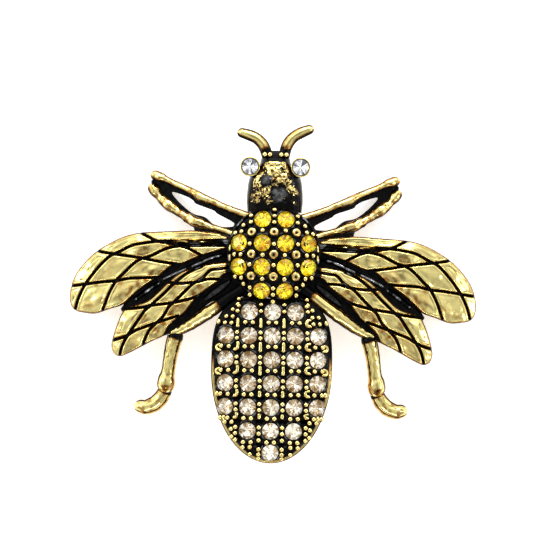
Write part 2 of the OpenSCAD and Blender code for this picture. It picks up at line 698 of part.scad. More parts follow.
function fore_rise(share_x) =
    let (root = FORE_LIMB[0].x, end = MID_LIMB[len(MID_LIMB) - 1].x)
    1 - (share_x - root) / (end - root);
function fore_path(table) = [for (row = table)
    let (r = fore_leg_d * row[2])
    [fore_leg_reach * row.x, fore_leg_reach * row.y, limb_z(fore_rise(row.x), r), r]];

// The sunk web follows the fall of the limbs, so it is a sheared plate.
module leg_web() {
    last = len(MID_LIMB) - 1;
    plan = concat(
        [for (row = FORE_LIMB) [row.x, row.y]],
        [for (i = [last : -1 : 0]) [MID_LIMB[i].x, MID_LIMB[i].y]]
    );
    root_z = limb_z(fore_rise(0), 0);
    fall = (root_z - limb_z(fore_rise(1), 0)) / fore_leg_reach;
    multmatrix([[1, 0, 0, 0], [0, 1, 0, 0], [-fall, 0, 1, root_z - 0.6 * web_t], [0, 0, 0, 1]])
        linear_extrude(web_t)
            difference() {
                offset(delta = 0.1 * fore_leg_d)
                    polygon(fore_leg_reach * plan);
                polygon(fore_leg_reach * LEG_SLIT);
            }
}

module fore_leg() {
    limb(fore_path(FORE_LIMB), 6);
    limb(fore_path(MID_LIMB), 6);
    leg_web();
}

module hind_leg() {
    for (table = [THIGH, SHIN, FOOT])
        limb([for (row = table)
            let (r = hind_leg_d * row[2])
            [hind_leg_reach * row.x, hind_leg_reach * row.y, limb_z(row[3], r), r]], 8);
}

// Everything that is cast in one piece
module casting() {
    color("darkgoldenrod")
        translate([0, -middle_y, 0])
            difference() {
                union() {
                    thorax();
                    abdomen();
                    head();
                    thorax_beads();
                    abdomen_beads();
                    for (side = SIDES) {
                        eye_cup(side_sign(side));
                        scale([side_sign(side), 1, 1]) {
                            antenna(side);
                            translate([0, -wing_set_back(side), 0])
                                wings();
                            translate([0, -leg_set_back(side), 0])
                                fore_leg();
                            hind_leg();
                        }
                    }
                }
                seats();
                translate([0, 0, -FAR / 2])
                    cube([FAR, FAR, FAR], center = true);
            }
}

// Pin on the back

module pin_finding() {
    loop_r = wire_d / 2 + catch_room + loop_wall;
    loop_w = 2 * loop_r;
    wire_z = loop_r + 0.1 * back_h - catch_room;
    loop_x = bar_len / 2 - loop_w / 2;
    slot = wire_d + catch_room;
    color("goldenrod")
        translate([0, -middle_y, 0]) {
            difference() {
                union() {
                    translate([-bar_len / 2, -bar_w / 2, back_h - bar_t])
                        cube([bar_len, bar_w, bar_t]);
                    for (sign = [-1, 1])
                        translate([sign * loop_x, 0, wire_z]) {
                            rotate([0, 90, 0])
                                cylinder(r = loop_r, h = loop_w, center = true, $fn = 32);
                            translate([-loop_w / 2, -loop_r, 0])
                                cube([loop_w, loop_r, back_h - bar_t / 2 - wire_z]);
                        }
                }
                translate([-loop_x - loop_w, 0, wire_z])
                    rotate([0, 90, 0])
                        cylinder(r = wire_d / 2 + catch_room, h = 2 * loop_w, $fn = 32);
                translate([-loop_x - loop_w, 0, wire_z - slot / 2])
                    cube([2 * loop_w, bar_w, slot]);
            }
            translate([-loop_x, 0, wire_z])
                rotate([0, 90, 0])
                    cylinder(d = wire_d, h = 2 * loop_x, $fn = 24);
            translate([-loop_x, 0, wire_z])
                rotate([0, -90, 0])
                    cylinder(d1 = wire_d, d2 = 0.2 * wire_d, h = 2 * wire_d, $fn = 24);
        }
}

module on_brooch() {
    translate([0, -middle_y, 0])
        children();
}

casting();
pin_finding();
on_brooch() eye_stone(-1);  // eye_stone_left
on_brooch() eye_stone(1);  // eye_stone_right
for (i = [1 : CITRINE_COUNT])
    on_brooch() citrine_stone(i - 1);
for (i = [1 : CHAMPAGNE_COUNT])
    on_brooch() champagne_stone(i - 1);
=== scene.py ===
import math

import bmesh
import bpy
import numpy as np
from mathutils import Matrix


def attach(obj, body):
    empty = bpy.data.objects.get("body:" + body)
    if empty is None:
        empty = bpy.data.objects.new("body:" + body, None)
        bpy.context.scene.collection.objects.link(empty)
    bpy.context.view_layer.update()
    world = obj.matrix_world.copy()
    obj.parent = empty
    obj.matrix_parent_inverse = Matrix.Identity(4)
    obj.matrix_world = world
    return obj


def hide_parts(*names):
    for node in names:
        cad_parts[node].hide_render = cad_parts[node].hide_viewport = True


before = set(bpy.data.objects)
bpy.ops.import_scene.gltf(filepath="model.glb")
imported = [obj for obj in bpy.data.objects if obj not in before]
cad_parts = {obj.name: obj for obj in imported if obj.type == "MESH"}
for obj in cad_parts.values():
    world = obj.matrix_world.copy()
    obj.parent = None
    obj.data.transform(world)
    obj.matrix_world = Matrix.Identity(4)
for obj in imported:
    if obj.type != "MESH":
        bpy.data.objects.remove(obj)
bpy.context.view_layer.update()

# All sizes below are in millimetres. X runs to the right and Y to the head from the middle of the
# thorax, and Z out of the front from the surface that the brooch rests on.
MM = 0.001
BODY_Y = 6.1218
BACK_Z = 3.5
ABDOMEN_Z = 3.55
WING_Z = 3.6
HEAD_Z = 3.65

# Stones, their grid and what stands between them
TIP_DEPTH = 0.95
COLUMN = 3.35
ROW = 3.45
GRID_DROP = 0.345
FIRST_ROW_Y = -8.62
EYE_X, EYE_Y, EYE_Z = 3.68, 12.47, 6.1
BEAD_R = 0.4
LINE_BEAD_R = 0.41
BALL_R = 0.8
SIDE_PRONG_R = 0.24
PRONG_R = (0.27, 0.32)

# Seat of a stone: its reach, the pocket under the stone, the lip round it and the light on that lip
SEAT_REACH = 2.2
POCKET_R = 1.3
POCKET_TOP = 0.12
POCKET_DEPTH = 1.15
LIP_R = 1.46
LIP_W = 0.15
LIP_H = 0.13
SHINE_R = 1.43
SHINE_W = 0.1

# Body
THORAX_R = 6.8
THORAX_WALL = 2.1
THORAX_CROWN = 2.1
DOME_R = 6.5
DOME_LONG = 1.15
ABDOMEN_R = 8.825
ABDOMEN_Y = -16.9
ABDOMEN_FRONT = 10.73
ABDOMEN_BACK = 13.8
ABDOMEN_WALL = 1.5
ABDOMEN_CROWN = 1.6
SHOULDER_POWER = 3.2
TAIL_POWER = 2
DOME_POWER = 2.6
RIM_W = 0.45
COLLAR_H = 0.12
GROOVE_DEPTH = 0.3
GROOVE_W = 0.22

# Wings and legs
FLAT_REACH = 11
WING_REACH = 30
WING_DROOP = 2.9
WING_T = 0.9
CELL_H = 0.5
CROWN_H = 0.2
CROWN_W = 1.5
VEIN_DEPTH = 0.45
BURNISH_H = 0.09
WEB_H = 0.42
RIDGE_H = 0.4
FORE_REACH = 19
FORE_D = 1.4
HIND_REACH = 20.2
HIND_D = 2.4
LEG_ROOT_Z = 4.4
LEG_WEB_T = 0.7

# What differs between the sides. Columns: sign of X, how far the wings and the fore legs sit back,
# turn of the antenna in degrees, its stretch, and the share of the hind leg's thigh that is black.
SIDES = {"left": (-1, 0, 0, 0, 1, 0.36), "right": (1, 0.45, 0.25, 6.5, 1.07, 0.14)}

# Outlines and veins of the wings. Columns: X outwards and Y.
FORE_WING = [
    (0, 2.3), (6.6, 2.3), (8, 2.7), (10, 2.9), (12, 3.05), (15, 2.9), (18, 2.75), (20, 2.55), (22, 2.0),
    (24, 1.05), (26, -0.2), (27.5, -1.6), (28.8, -3.2), (29.6, -4.9), (29.95, -6.8), (29.75, -8.1),
    (29.1, -8.95), (28, -9.25), (26, -9.38), (24, -8.7), (22, -8.0), (20.5, -6.6), (19, -5.35), (17, -4),
    (15, -2.3), (13, -1.7), (11, -0.8), (8, 0.2), (6, 0.6), (0, 0.8)
]
HIND_WING = [
    (0, -1.5), (7.2, -1.5), (11, -2.2), (13.5, -3.1), (15.3, -4.5), (16.7, -5.9), (18.3, -7.3),
    (20.5, -8.1), (21.6, -8.5), (22.2, -9.5), (22.9, -11.3), (23.45, -13.2), (23.5, -14.3),
    (23.1, -15.2), (22.2, -15.55), (21, -15.1), (19.5, -14.3), (17.5, -13.2), (15.9, -12.4),
    (15.2, -11.1), (14, -9.9), (12.8, -8.9), (11, -6.6), (9.5, -5.4), (8, -4.3), (6.5, -3.1), (0, -3)
]
WING_WEB = [
    (0, 3), (7, 2.6), (12, 2.9), (16, 0), (19.5, -4.5), (21.9, -8), (21.9, -9.2), (18, -12.5),
    (15.5, -12.3), (12.9, -10.5), (7.5, -6.6), (0, -6)
]
FORE_VEINS = [
    [(5, 1.75), (10, 1.65), (13, 1.5), (16.5, 1.4), (19.5, 1), (21, 0.6), (22.5, -0.2), (24, -0.95),
     (25.5, -2.4), (27, -4.3), (28, -5.9), (28.7, -7.6), (29.1, -9.3)],
    [(5, 0.95), (10, 0.9), (13, 0.78), (14.5, 0.65), (16, 0.2), (18, -0.8), (19.3, -1.2), (20.5, -2),
     (22, -3.5), (23, -4.5), (24, -6.4), (24.5, -7.8), (25.2, -9.6)],
    [(20.4, 3), (18.5, 2.1), (17, 1.4), (15, 1.1), (13, 0.6), (12, 0.2), (10.1, -0.8)],
    [(27, 0), (24, -0.5), (20, -1), (17, -1.5), (15, -1.8), (13.5, -2)],
    [(30.4, -5.5), (28, -5.15), (25, -4.7), (23, -4.5), (21, -4.1), (19, -4), (17, -3.9)],
    [(5, 1.3), (10, 1.25), (13, 1.15), (15.5, 1.1)],
    [(5, 1.5), (8.6, 1.5)]
]
HIND_VEINS = [
    [(5, -2), (8, -2.5), (9.2, -2.7), (10.2, -3.7), (11.8, -4.8), (12.8, -5.8), (14.5, -7.5), (15.2, -8.2),
     (16, -9.6), (17.7, -11.3), (18.3, -12.3), (19, -14.2)],
    [(10.5, -2.2), (12.3, -3), (14.2, -4.5), (16, -6.3), (17.8, -8), (18.7, -8.8), (19.5, -10), (21, -12.3),
     (21.9, -14), (22.3, -15.9)],
    [(17, -4.2), (15, -4.6), (13.5, -4.7), (11, -4.4), (9.5, -4), (7.5, -4)],
    [(22, -8.6), (19, -8.3), (17.8, -8), (15, -7.6), (14, -7.4), (12, -6.9), (10.5, -6.3)],
    [(24, -13.4), (21.5, -12.6), (20, -11.7), (18.5, -11.1), (17.2, -10.6), (15.5, -10), (13.8, -9.4)]
]
# Thin ridges left standing between two veins
SLIVERS = [[(9, 1.5), (11.5, 1.52), (14.6, 1.38)]]
# Lines along which the gold of the wings is made browner
FORE_BROWNING = [(15, -2.4), (17.5, -3.2), (20, -5.2), (22, -6.9)]
HIND_BROWNING = [(10.5, -4.9), (13, -7.6), (15, -9.4), (17, -11.6)]
WEB_FACET = [(6.4, -4.3), (9.9, -7)]
WEB_RIDGES = [
    [(7.6, -0.5), (9.3, -1), (10.8, -1.7), (13.5, -2.9), (16, -4.1)],
    [(16.8, -4.8), (18.4, -5.9), (20, -7.1)]
]

# Limbs. Columns: X and Y as shares of the reach and radius as a share of the thickness; those of the
# hind leg also have the rise from 0, lying on the ground, to 1, at the leg's root.
FORE_LIMB = [
    (0.184, 0.274, 0.4), (0.368, 0.339, 0.36), (0.474, 0.384, 0.385), (0.579, 0.424, 0.5),
    (0.642, 0.463, 0.4), (0.8, 0.533, 0.36), (0.85, 0.556, 0.4), (0.885, 0.573, 0.5),
    (0.932, 0.588, 0.52)
]
MID_LIMB = [
    (0.3, 0.137, 0.4), (0.45, 0.177, 0.4), (0.526, 0.202, 0.45), (0.6, 0.226, 0.62),
    (0.65, 0.25, 0.58), (0.7, 0.278, 0.47), (0.763, 0.316, 0.48), (0.82, 0.355, 0.6),
    (0.862, 0.389, 0.52), (0.895, 0.42, 0.43), (0.93, 0.458, 0.54), (0.95, 0.485, 0.54)
]
# Where the web between the fore and the middle leg ends, and the slit through it
LEG_WEB_TIP = (0.965, 0.54)
LEG_SLIT = [
    (0.8, 0.46), (0.684, 0.426), (0.632, 0.395), (0.605, 0.368), (0.474, 0.321), (0.442, 0.295),
    (0.321, 0.232), (0.313, 0.205), (0.337, 0.195), (0.421, 0.195), (0.474, 0.216),
    (0.537, 0.268), (0.632, 0.295), (0.737, 0.379)
]
# Black web between the middle leg and the wing, in millimetres
LEG_WEDGE = [(6.9, 3.2), (7.2, 2.3), (9.5, 2.5), (11.7, 2.9), (11.75, 3.2), (12.1, 4.1), (11, 4), (9, 3.4)]
THIGH = [
    (0.22, -0.26, 0.33, 1), (0.396, -0.391, 0.396, 0.92), (0.495, -0.46, 0.417, 0.84),
    (0.594, -0.527, 0.375, 0.76), (0.673, -0.569, 0.35, 0.7), (0.715, -0.59, 0.36, 0.68)
]
SHIN = [
    (0.703, -0.62, 0.5, 0.6), (0.723, -0.693, 0.47, 0.56), (0.74, -0.792, 0.43, 0.48),
    (0.752, -0.876, 0.44, 0.4), (0.763, -0.936, 0.54, 0.34), (0.766, -0.97, 0.56, 0.3)
]
FOOT = [
    (0.775, -1.02, 0.44, 0.2), (0.802, -1.069, 0.49, 0.12), (0.847, -1.114, 0.5, 0.06),
    (0.906, -1.139, 0.48, 0.01), (0.948, -1.136, 0.43, 0)
]
# Columns: X outwards, Y and radius
ANTENNA = [
    (1.25, 14.2, 0.84), (1.6, 15.2, 0.86), (2.15, 16.05, 0.86), (2.95, 16.7, 0.84), (3.9, 17.1, 0.84),
    (4.95, 17.4, 0.74)
]
ANTENNA_Z = 4.78

# Half the head's width and its height at places along it. Columns: Y, half width, height.
HEAD_SECTIONS = [
    (5.9, 3.95, 2.3), (7.5, 4.1, 2.75), (9, 4.05, 3.1), (10.3, 3.9, 3.2), (11.2, 3.6, 3.2), (12, 2.7, 3.1),
    (13, 2.3, 2.9), (13.8, 2.1, 2.4), (14.5, 1.8, 1.7), (14.9, 1.2, 1.2)
]
HEAD_POWER = 2.6
# Half the width of the head's worn, flatter top. Columns: Y, half width.
HEAD_TOP = [(7.2, 3.3), (9, 3.5), (10.5, 2.9), (12, 1.9), (13, 1.5)]
# Directions of the strokes of gold on it. Columns: X, Y.
STROKES = [(1, 0.25), (0.6, -0.9), (0.75, 0.8)]
# Places on it that are darker, with a painted grey sheen. Columns: X, Y, radius.
SHEEN_PLACES = [(1.1, 8.6, 0.9), (-1.3, 10.6, 0.8)]
# Cup of an eye, from the axis under it to the axis inside it. Columns: radius, Z, patina.
CUP = [
    (0, -1.8, 0.4), (1.1, -1.8, 0.4), (1.33, -1.4, 0.5), (1.43, -1, 0.9), (1.43, -0.1, 0.45),
    (1.4, 0, 0.1), (1.33, 0.02, 0.05), (1.23, 0, 0.4), (1.2, -0.1, 1), (1.19, -0.3, 1), (0, -1.2, 1)
]
# Strut from the head to the cup. Columns: X outwards, Y, Z, radius.
STRUT = [(1.9, 11.7, 4.5, 0.85), (2.8, 12.1, 4.35, 0.75), (3.4, 12.35, 4.25, 0.7)]
# The two beads at the root of each antenna, one on each side of BROW_X
BROW_X, BROW_Y, BROW_Z = 1.2, 14.25, 5.5
BROW_GAP = 0.38

# Beads and balls of the thorax, mirrored. Columns: X in columns and Y in rows of the grid.
THORAX_BEADS = [
    (0, 1.86), (0, 1.6), (0, 1.34), (0.97, 1.6), (0.97, 1.33), (0.48, 1), (1.28, 1.2),
    (1.36, 0.94), (1.62, 0.88), (0, 0.45), (1, 0.45), (0.46, 0), (1.38, 0), (1.65, 0), (0, -0.41),
    (1, -0.4), (0.46, -0.98), (1.34, -0.95), (1.6, -0.91), (0, -1.36), (0.97, -1.34), (0, -1.62),
    (0.97, -1.64), (1.24, -1.2), (0, -1.9)
]
THORAX_BALLS = [(0, 0.93), (0.925, 0.92), (0, 0.02), (0.925, 0.02), (0, -0.88), (0.925, -0.87)]
# Rows of the abdomen. Columns: stones, place in rows, then what stands in each gap between two stones:
# places of two beads and of a prong or a third bead, in rows.
ABDOMEN_ROWS = [
    (3, 0, 0.28, 0, -0.46), (5, 1, 0.12, -0.12, -0.46), (5, 2, 0.1, -0.14, -0.45),
    (5, 3, 0.11, -0.15, -0.43), (5, 4, 0.14, -0.11, -0.37), (3, 5, 0.16, -0.1, -0.38),
    (1, 5.93, 0.17, -0.05, -0.23)
]
# Other beads of the abdomen, mirrored. Columns: row, X in columns, Y in rows from it.
LOOSE_BEADS = [
    (0, 1.7, 0.06), (0, 1.7, -0.23), (0, 1.97, -0.23), (0, 1.75, -0.5), (0, 2.02, -0.5), (0, 1.45, 0.5),
    (0, 1.45, 0.22), (5, 1.68, 0.07), (5, 1.66, -0.25), (5, 1.66, 0.37), (5, 1.95, 0.36),
    (6, 0.87, 0.26), (6, 0.87, -0.05), (6, 1.18, 0.24)
]
# Pairs of beads under each stone: how far they stand from its column and row
LINE_STEP = 0.16
LINE_PLACE = -0.465
# Rows of the abdomen with a groove behind them, and its place in rows
GROOVE_ROWS = (2, 3, 4, 5, 1)
GROOVE_PLACE = -0.62
# Upright prongs outside the outermost stones of the thorax. Columns: X, Y.
SIDE_PRONGS = [(6.25, -0.85), (6.25, 0.55)]

# The patina value goes from 0, bare gold, over brown to 1, black, and holds painted shade as well as
# real patina; what lies above 1 is a painted silvery reflection on black.
BACK_PATINA = 0.28
# Crease just inside the outline of the shins and feet
CREASE_IN = 0.13
CREASE_W = 0.1
# How much further the painted shade at the edge of a rod reaches in on its shaded side
SHADE_W = 0.27
# Rings of each rounded end of a rod
END_RINGS = 4
# Least thickness of a plate
LEAST_T = 0.05
# Edges sharper than this, in degrees, aren't shaded smooth.
SHARP_ANGLE = 62


# General functions

def spline(rows, steps, closed=False):
    """A smooth curve through the rows of a table"""
    rows = np.array(rows, float)
    n = len(rows)
    t = np.arange(steps)[:, None] / steps
    parts = []
    for i in range(n if closed else n - 1):
        near = [(i + k) % n if closed else min(max(i + k, 0), n - 1) for k in (-1, 0, 1, 2)]
        a, b, c, d = rows[near]
        parts.append(0.5 * (2 * b + (c - a) * t + (2 * a - 5 * b + 4 * c - d) * t ** 2
                            + (3 * b - a - 3 * c + d) * t ** 3))
    if not closed:
        parts.append(rows[-1:])
    return np.vstack(parts)


def ramp(v, low, high):
    """Smooth step from 0 at low to 1 at high"""
    t = np.clip((v - low) / (high - low), 0, 1)
    return t * t * (3 - 2 * t)


def hump(v, place, width):
    """Smooth bump of height 1 at a place"""
    return np.exp(-((v - place) / width) ** 2)


def to_line(p, line):
    """Distance from each point to a line of points, and the nearest point of the line"""
    best = np.full(len(p), 1e9)
    foot = p.copy()
    for a, b in zip(line[:-1], line[1:]):
        d = b - a
        t = np.clip(((p - a) @ d) / max(d @ d, 1e-12), 0, 1)
        q = a + t[:, None] * d
        distance = np.hypot(*(p - q).T)
        near = distance < best
        best[near] = distance[near]
        foot[near] = q[near]
    return best, foot


def inside(p, ring):
    """Whether each point lies in a closed ring"""
    odd = np.zeros(len(p), bool)
    for (x0, y0), (x1, y1) in zip(ring[:-1], ring[1:]):
        crosses = (y0 > p[:, 1]) != (y1 > p[:, 1])
        x = x0 + (p[:, 1] - y0) * (x1 - x0) / ((y1 - y0) or 1e-12)
        odd ^= crosses & (p[:, 0] < x)
    return odd


def waves(p, size, seed):
    """Smooth unevenness of about the given size, mostly between -1 and 1"""
    rng = np.random.default_rng(seed)
    total = np.zeros(len(p))
    for _ in range(7):
        angle, phase = rng.uniform(0, 2 * math.pi, 2)
        rate = 2 * math.pi / size * rng.uniform(0.6, 1.4)
        total += np.sin(rate * (p[:, 0] * math.cos(angle) + p[:, 1] * math.sin(angle)) + phase)
    return total / 3.5


def relief(rings, top, bottom, cell):
    """A plate inside the rings, in cells of the given size. top gives height and patina, with any painted
    shade and sheen, from places and distances to the edge, and bottom the height of the underside."""
    rings = [np.vstack([ring, ring[:1]]) for ring in rings]
    every = np.vstack(rings)
    lo = every.min(0) - cell
    nx, ny = np.ceil((every.max(0) + cell - lo) / cell).astype(int)
    i, j = np.meshgrid(np.arange(nx), np.arange(ny), indexing="ij")
    i, j = i.ravel(), j.ravel()
    middle = lo + cell * (np.stack([i, j], 1) + 0.5)
    kept = np.zeros(len(middle), bool)
    for ring in rings:
        kept ^= inside(middle, ring)
    i, j = i[kept], j[kept]
    corner = i * (ny + 1) + j
    quads = np.stack([corner, corner + ny + 1, corner + ny + 2, corner + 1], 1)
    used, quads = np.unique(quads, return_inverse=True)
    quads = quads.reshape(-1, 4)
    n = len(used)
    p = lo + cell * np.stack([used // (ny + 1), used % (ny + 1)], 1).astype(float)
    distances, feet = zip(*(to_line(p, ring) for ring in rings))
    edge = np.min(distances, 0)
    foot = np.choose(np.argmin(distances, 0)[:, None], feet)
    border = np.bincount(quads.ravel(), minlength=n) < 4
    p[border] = foot[border]
    edge[border] = 0
    z, patina_shade_sheen = top(p, edge)
    low = bottom(p)
    z = np.maximum(z, low + LEAST_T)
    points = np.vstack([np.column_stack([p, z]), np.column_stack([p, low])])
    a, b = quads.ravel(), np.roll(quads, -1, 1).ravel()
    open_edge = ~np.isin(a * n + b, b * n + a)
    a, b = a[open_edge], b[open_edge]
    walls = np.stack([b, a, a + n, b + n], 1)
    back = BACK_PATINA + 0.6 * (1 - ramp(edge, 0, 0.5))
    return points, [quads, quads[:, ::-1] + n, walls], np.concatenate([patina_shade_sheen, back])


def level(z):
    """A flat underside at the given height"""
    return lambda p: np.full(len(p), z)


def ring_faces(count, sides):
    """Faces between rings of points that follow each other, closed by the two points after them"""
    k = np.arange(sides)
    after = (k + 1) % sides
    bands = [np.stack([m * sides + k, m * sides + after, (m + 1) * sides + after, (m + 1) * sides + k], 1)
             for m in range(count - 1)]
    last, n = (count - 1) * sides, count * sides
    return [np.vstack(bands), np.stack([after, k, np.full(sides, n)], 1),
            np.stack([last + k, last + after, np.full(sides, n + 1)], 1)]


def dark_edges(along, inward):
    """Patina and painted shade that grow towards the edges of a rod"""
    return 0.72 * (1 - ramp(inward, -0.04, 0.5)) + 0.28 * (1 - ramp(inward, -0.3, -0.05))


def tube(path, sides=20, patina_shade_sheen=dark_edges, lumps=0.0, flecks=0.0, shade=(0, -1), groove=0.0):
    """A rod with rounded ends. Columns of the path: X, Y, Z and radius. The function for patina and painted
    shade gets the place along the path, from 0 to 1, and how far inside the rod's outline each point
    lies, seen from above, less on the side that shade points to, so that painted shade reaches further
    in there. lumps is the unevenness of its upper half and groove the depth of a crease just inside the
    outline, both as shares of the radius, and flecks the patina of its stains."""
    path = np.array(path, float)
    step = np.linalg.norm(np.diff(path[:, :3], axis=0), axis=1)
    place = np.concatenate([[0], np.cumsum(step)]) / step.sum()
    heading = np.gradient(path[:, :3], axis=0)
    heading /= np.linalg.norm(heading, axis=1)[:, None]
    turn = [math.radians(a) for a in np.linspace(0, 90, END_RINGS + 1)[:-1]]
    rings = [(path[0, :3] - heading[0] * path[0, 3] * math.sin(a), heading[0],
              path[0, 3] * math.cos(a), 0) for a in turn[::-1]]
    rings += [(path[k, :3], heading[k], path[k, 3], place[k]) for k in range(1, len(path) - 1)]
    rings += [(path[-1, :3] + heading[-1] * path[-1, 3] * math.sin(a), heading[-1],
               path[-1, 3] * math.cos(a), 1) for a in turn]
    angle = np.arange(sides) * 2 * math.pi / sides
    points, inward, along, below = [], [], [], []
    for centre, ahead, r, s in rings:
        side = np.array([-ahead[1], ahead[0], 0])
        side /= max(np.linalg.norm(side), 1e-9)
        up = np.cross(ahead, side)
        up *= np.sign(up[2]) or 1
        out = r * (np.cos(angle)[:, None] * side + np.sin(angle)[:, None] * up)
        # Painted shade: on the side that shade points to, points count as less far inside, so the dark edge
        # is wider there
        shadow = SHADE_W * np.clip(out[:, :2] @ np.array(shade) / max(r, 1e-9), 0, 1)
        inset = np.where(np.sin(angle) > 0, r * (1 - np.abs(np.cos(angle))), -r) - shadow
        uneven = lumps * ramp(np.sin(angle), -0.2, 0.4) * waves((centre + out)[:, :2], 1.1, 51)
        uneven = uneven - groove * hump(inset, CREASE_IN, CREASE_W)
        points.append(centre + out * (1 + uneven[:, None]))
        inward.append(inset)
        along.append(np.full(sides, s))
        below.append(ramp(-np.sin(angle), 0.35, 0.95))
    points = np.vstack(points)
    inward, along = np.concatenate(inward), np.concatenate(along)
    below = np.concatenate(below + [np.zeros(2)])
    faces = ring_faces(len(rings), sides)
    ends = np.array([points[:sides].mean(0), points[-sides:].mean(0)])
    inward = np.append(inward, [0, 0])
    along = np.append(along, [0, 1])
    points = np.vstack([points, ends])
    dark = np.maximum(patina_shade_sheen(along, inward), flecks * ramp(waves(points[:, :2], 1.3, 52), -0.3, 0.5))
    dark = dark * (1 - below) + BACK_PATINA * below
    # The rings run the other way round where the path heads towards -Y or -X, so the volume decides.
    a, b, c = points[faces[0][:, :3]].swapaxes(0, 1)
    if ((a - points.mean(0)) * np.cross(b - a, c - a)).sum() < 0:
        faces = [f[:, ::-1] for f in faces]
    return points, faces, dark


def turned(profile, centre):
    """A solid of revolution about Z. Columns of the profile, which runs from the axis to the axis:
    radius, Z and patina."""
    sides = 48
    profile = np.array(profile, float)
    angle = np.arange(sides) * 2 * math.pi / sides
    inner, ends = profile[1:-1], profile[[0, -1]]
    points = np.vstack([np.column_stack([r * np.cos(angle), r * np.sin(angle), np.full(sides, z)])
                        for r, z, _ in inner] + [[0, 0, z] for _, z, _ in ends])
    patina_shade_sheen = np.concatenate([np.repeat(inner[:, 2], sides), ends[:, 2]])
    return points + np.array(centre), ring_faces(len(inner), sides), patina_shade_sheen


def icosphere():
    mesh = bmesh.new()
    bmesh.ops.create_icosphere(mesh, subdivisions=3, radius=1)
    mesh.verts.ensure_lookup_table()
    points = np.array([v.co for v in mesh.verts])
    faces = np.array([[v.index for v in f.verts] for f in mesh.faces])
    mesh.free()
    return points, faces


SPHERE, SPHERE_FACES = icosphere()


def grain(centre, normal, r, long=1.0, height=1.0, sunk=0.15, dimple=0.0):
    """A bead standing on a surface, drawn out along Y if long is above 1, with a dent in its top as
    deep as dimple says, a share of its radius."""
    up = np.array(normal) / np.linalg.norm(normal)
    ahead = np.array([0, 1, 0]) - up[1] * up
    ahead /= np.linalg.norm(ahead)
    side = np.cross(ahead, up)
    shape = SPHERE * np.array([r, r * long, r * height])
    hollow = hump(np.hypot(SPHERE[:, 0], SPHERE[:, 1]), 0, 0.4) * (SPHERE[:, 2] > 0)
    shape[:, 2] -= dimple * r * hollow
    points = np.array(centre) + up * (r * height - sunk) + shape @ np.array([side, ahead, up])
    # Patina round the bead's foot, and painted shade on its lower side, reaching higher towards -Y
    patina_shade_sheen = 1 - ramp(SPHERE[:, 2] + 0.15 * SPHERE[:, 1], 0.4, 0.92)
    if dimple:
        patina_shade_sheen = np.maximum(patina_shade_sheen, ramp(hollow, 0.3, 0.95))
    return points, [SPHERE_FACES], patina_shade_sheen


def mirrored(part, sign, dy=0.0):
    """A part for the left side if sign is -1, moved along Y"""
    points, faces, patina_shade_sheen = part
    points = points * np.array([sign, 1, 1]) + np.array([0, dy, 0])
    return points, (faces if sign > 0 else [f[:, ::-1] for f in faces]), patina_shade_sheen


# Materials

# Limits of a map node
LIMITS = ("From Min", "From Max", "To Min", "To Max")


def preset(node, names, values):
    """Sets the named sockets of a node to constants"""
    for name, value in zip(names, values):
        node.inputs[name].default_value = value


class Nodes:
    """Short calls for building one material"""

    def __init__(self, name):
        self.material = bpy.data.materials.new(name)
        self.material.use_nodes = True
        self.tree = self.material.node_tree
        self.shader = self.tree.nodes["Principled BSDF"]
        coordinates = self.new("TexCoord")
        scale = self.new("VectorMath")
        scale.operation = "SCALE"
        scale.inputs["Scale"].default_value = 1 / MM
        self.link(coordinates.outputs["Object"], scale.inputs[0])
        self.place = scale.outputs[0]

    def new(self, kind):
        return self.tree.nodes.new("ShaderNode" + kind)

    def link(self, a, b):
        self.tree.links.new(a, b)

    def put(self, socket, value):
        """Links the output of a node to a socket, or sets the socket to a constant"""
        if isinstance(value, bpy.types.NodeSocket):
            self.link(value, socket)
        else:
            socket.default_value = value

    def set(self, name, value):
        self.put(self.shader.inputs[name], value)

    def noise(self, size, detail=2.0, roughness=0.5, distortion=0.0, vector=None):
        """Noise with features of about the given size in millimetres"""
        n = self.new("TexNoise")
        preset(n, ("Scale", "Detail", "Roughness", "Distortion"), (1 / size, detail, roughness, distortion))
        self.link(vector or self.place, n.inputs["Vector"])
        return n.outputs["Fac"]

    def specks(self, size):
        n = self.new("TexVoronoi")
        n.inputs["Scale"].default_value = 1 / size
        self.link(self.place, n.inputs["Vector"])
        return n.outputs["Distance"]

    def map(self, value, low, high, to_low=0.0, to_high=1.0):
        n = self.new("MapRange")
        n.interpolation_type = "SMOOTHSTEP"
        preset(n, LIMITS, (low, high, to_low, to_high))
        self.link(value, n.inputs["Value"])
        return n.outputs["Result"]

    def math(self, operation, a, b, clamp=False):
        n = self.new("Math")
        n.operation = operation
        n.use_clamp = clamp
        for socket, v in zip(n.inputs, (a, b)):
            self.put(socket, v)
        return n.outputs[0]

    def mix(self, share, a, b):
        n = self.new("Mix")
        n.data_type = "RGBA"
        # The sockets of the mix node for colours
        for socket, v in ((n.inputs[0], share), (n.inputs[6], a), (n.inputs[7], b)):
            self.put(socket, v)
        return n.outputs[2]

    def patina_shade_sheen(self):
        n = self.new("Attribute")
        n.attribute_name = "patina_shade_sheen"
        return n.outputs["Fac"]

    def bump(self, height, distance):
        n = self.new("Bump")
        n.inputs["Distance"].default_value = distance * MM
        self.link(height, n.inputs["Height"])
        self.link(n.outputs["Normal"], self.shader.inputs["Normal"])


def rgb(r, g, b):
    return (r, g, b, 1)


GOLD = rgb(0.86, 0.735, 0.283)
GOLD_WARM = rgb(0.8, 0.55, 0.18)
BROWN = rgb(0.38, 0.155, 0.022)
BLACK = rgb(0.0012, 0.0012, 0.0012)
SHEEN_GREY = rgb(0.42, 0.43, 0.44)
PIN_GOLD = rgb(0.86, 0.66, 0.32)
PIN_DULL = rgb(0.6, 0.42, 0.18)


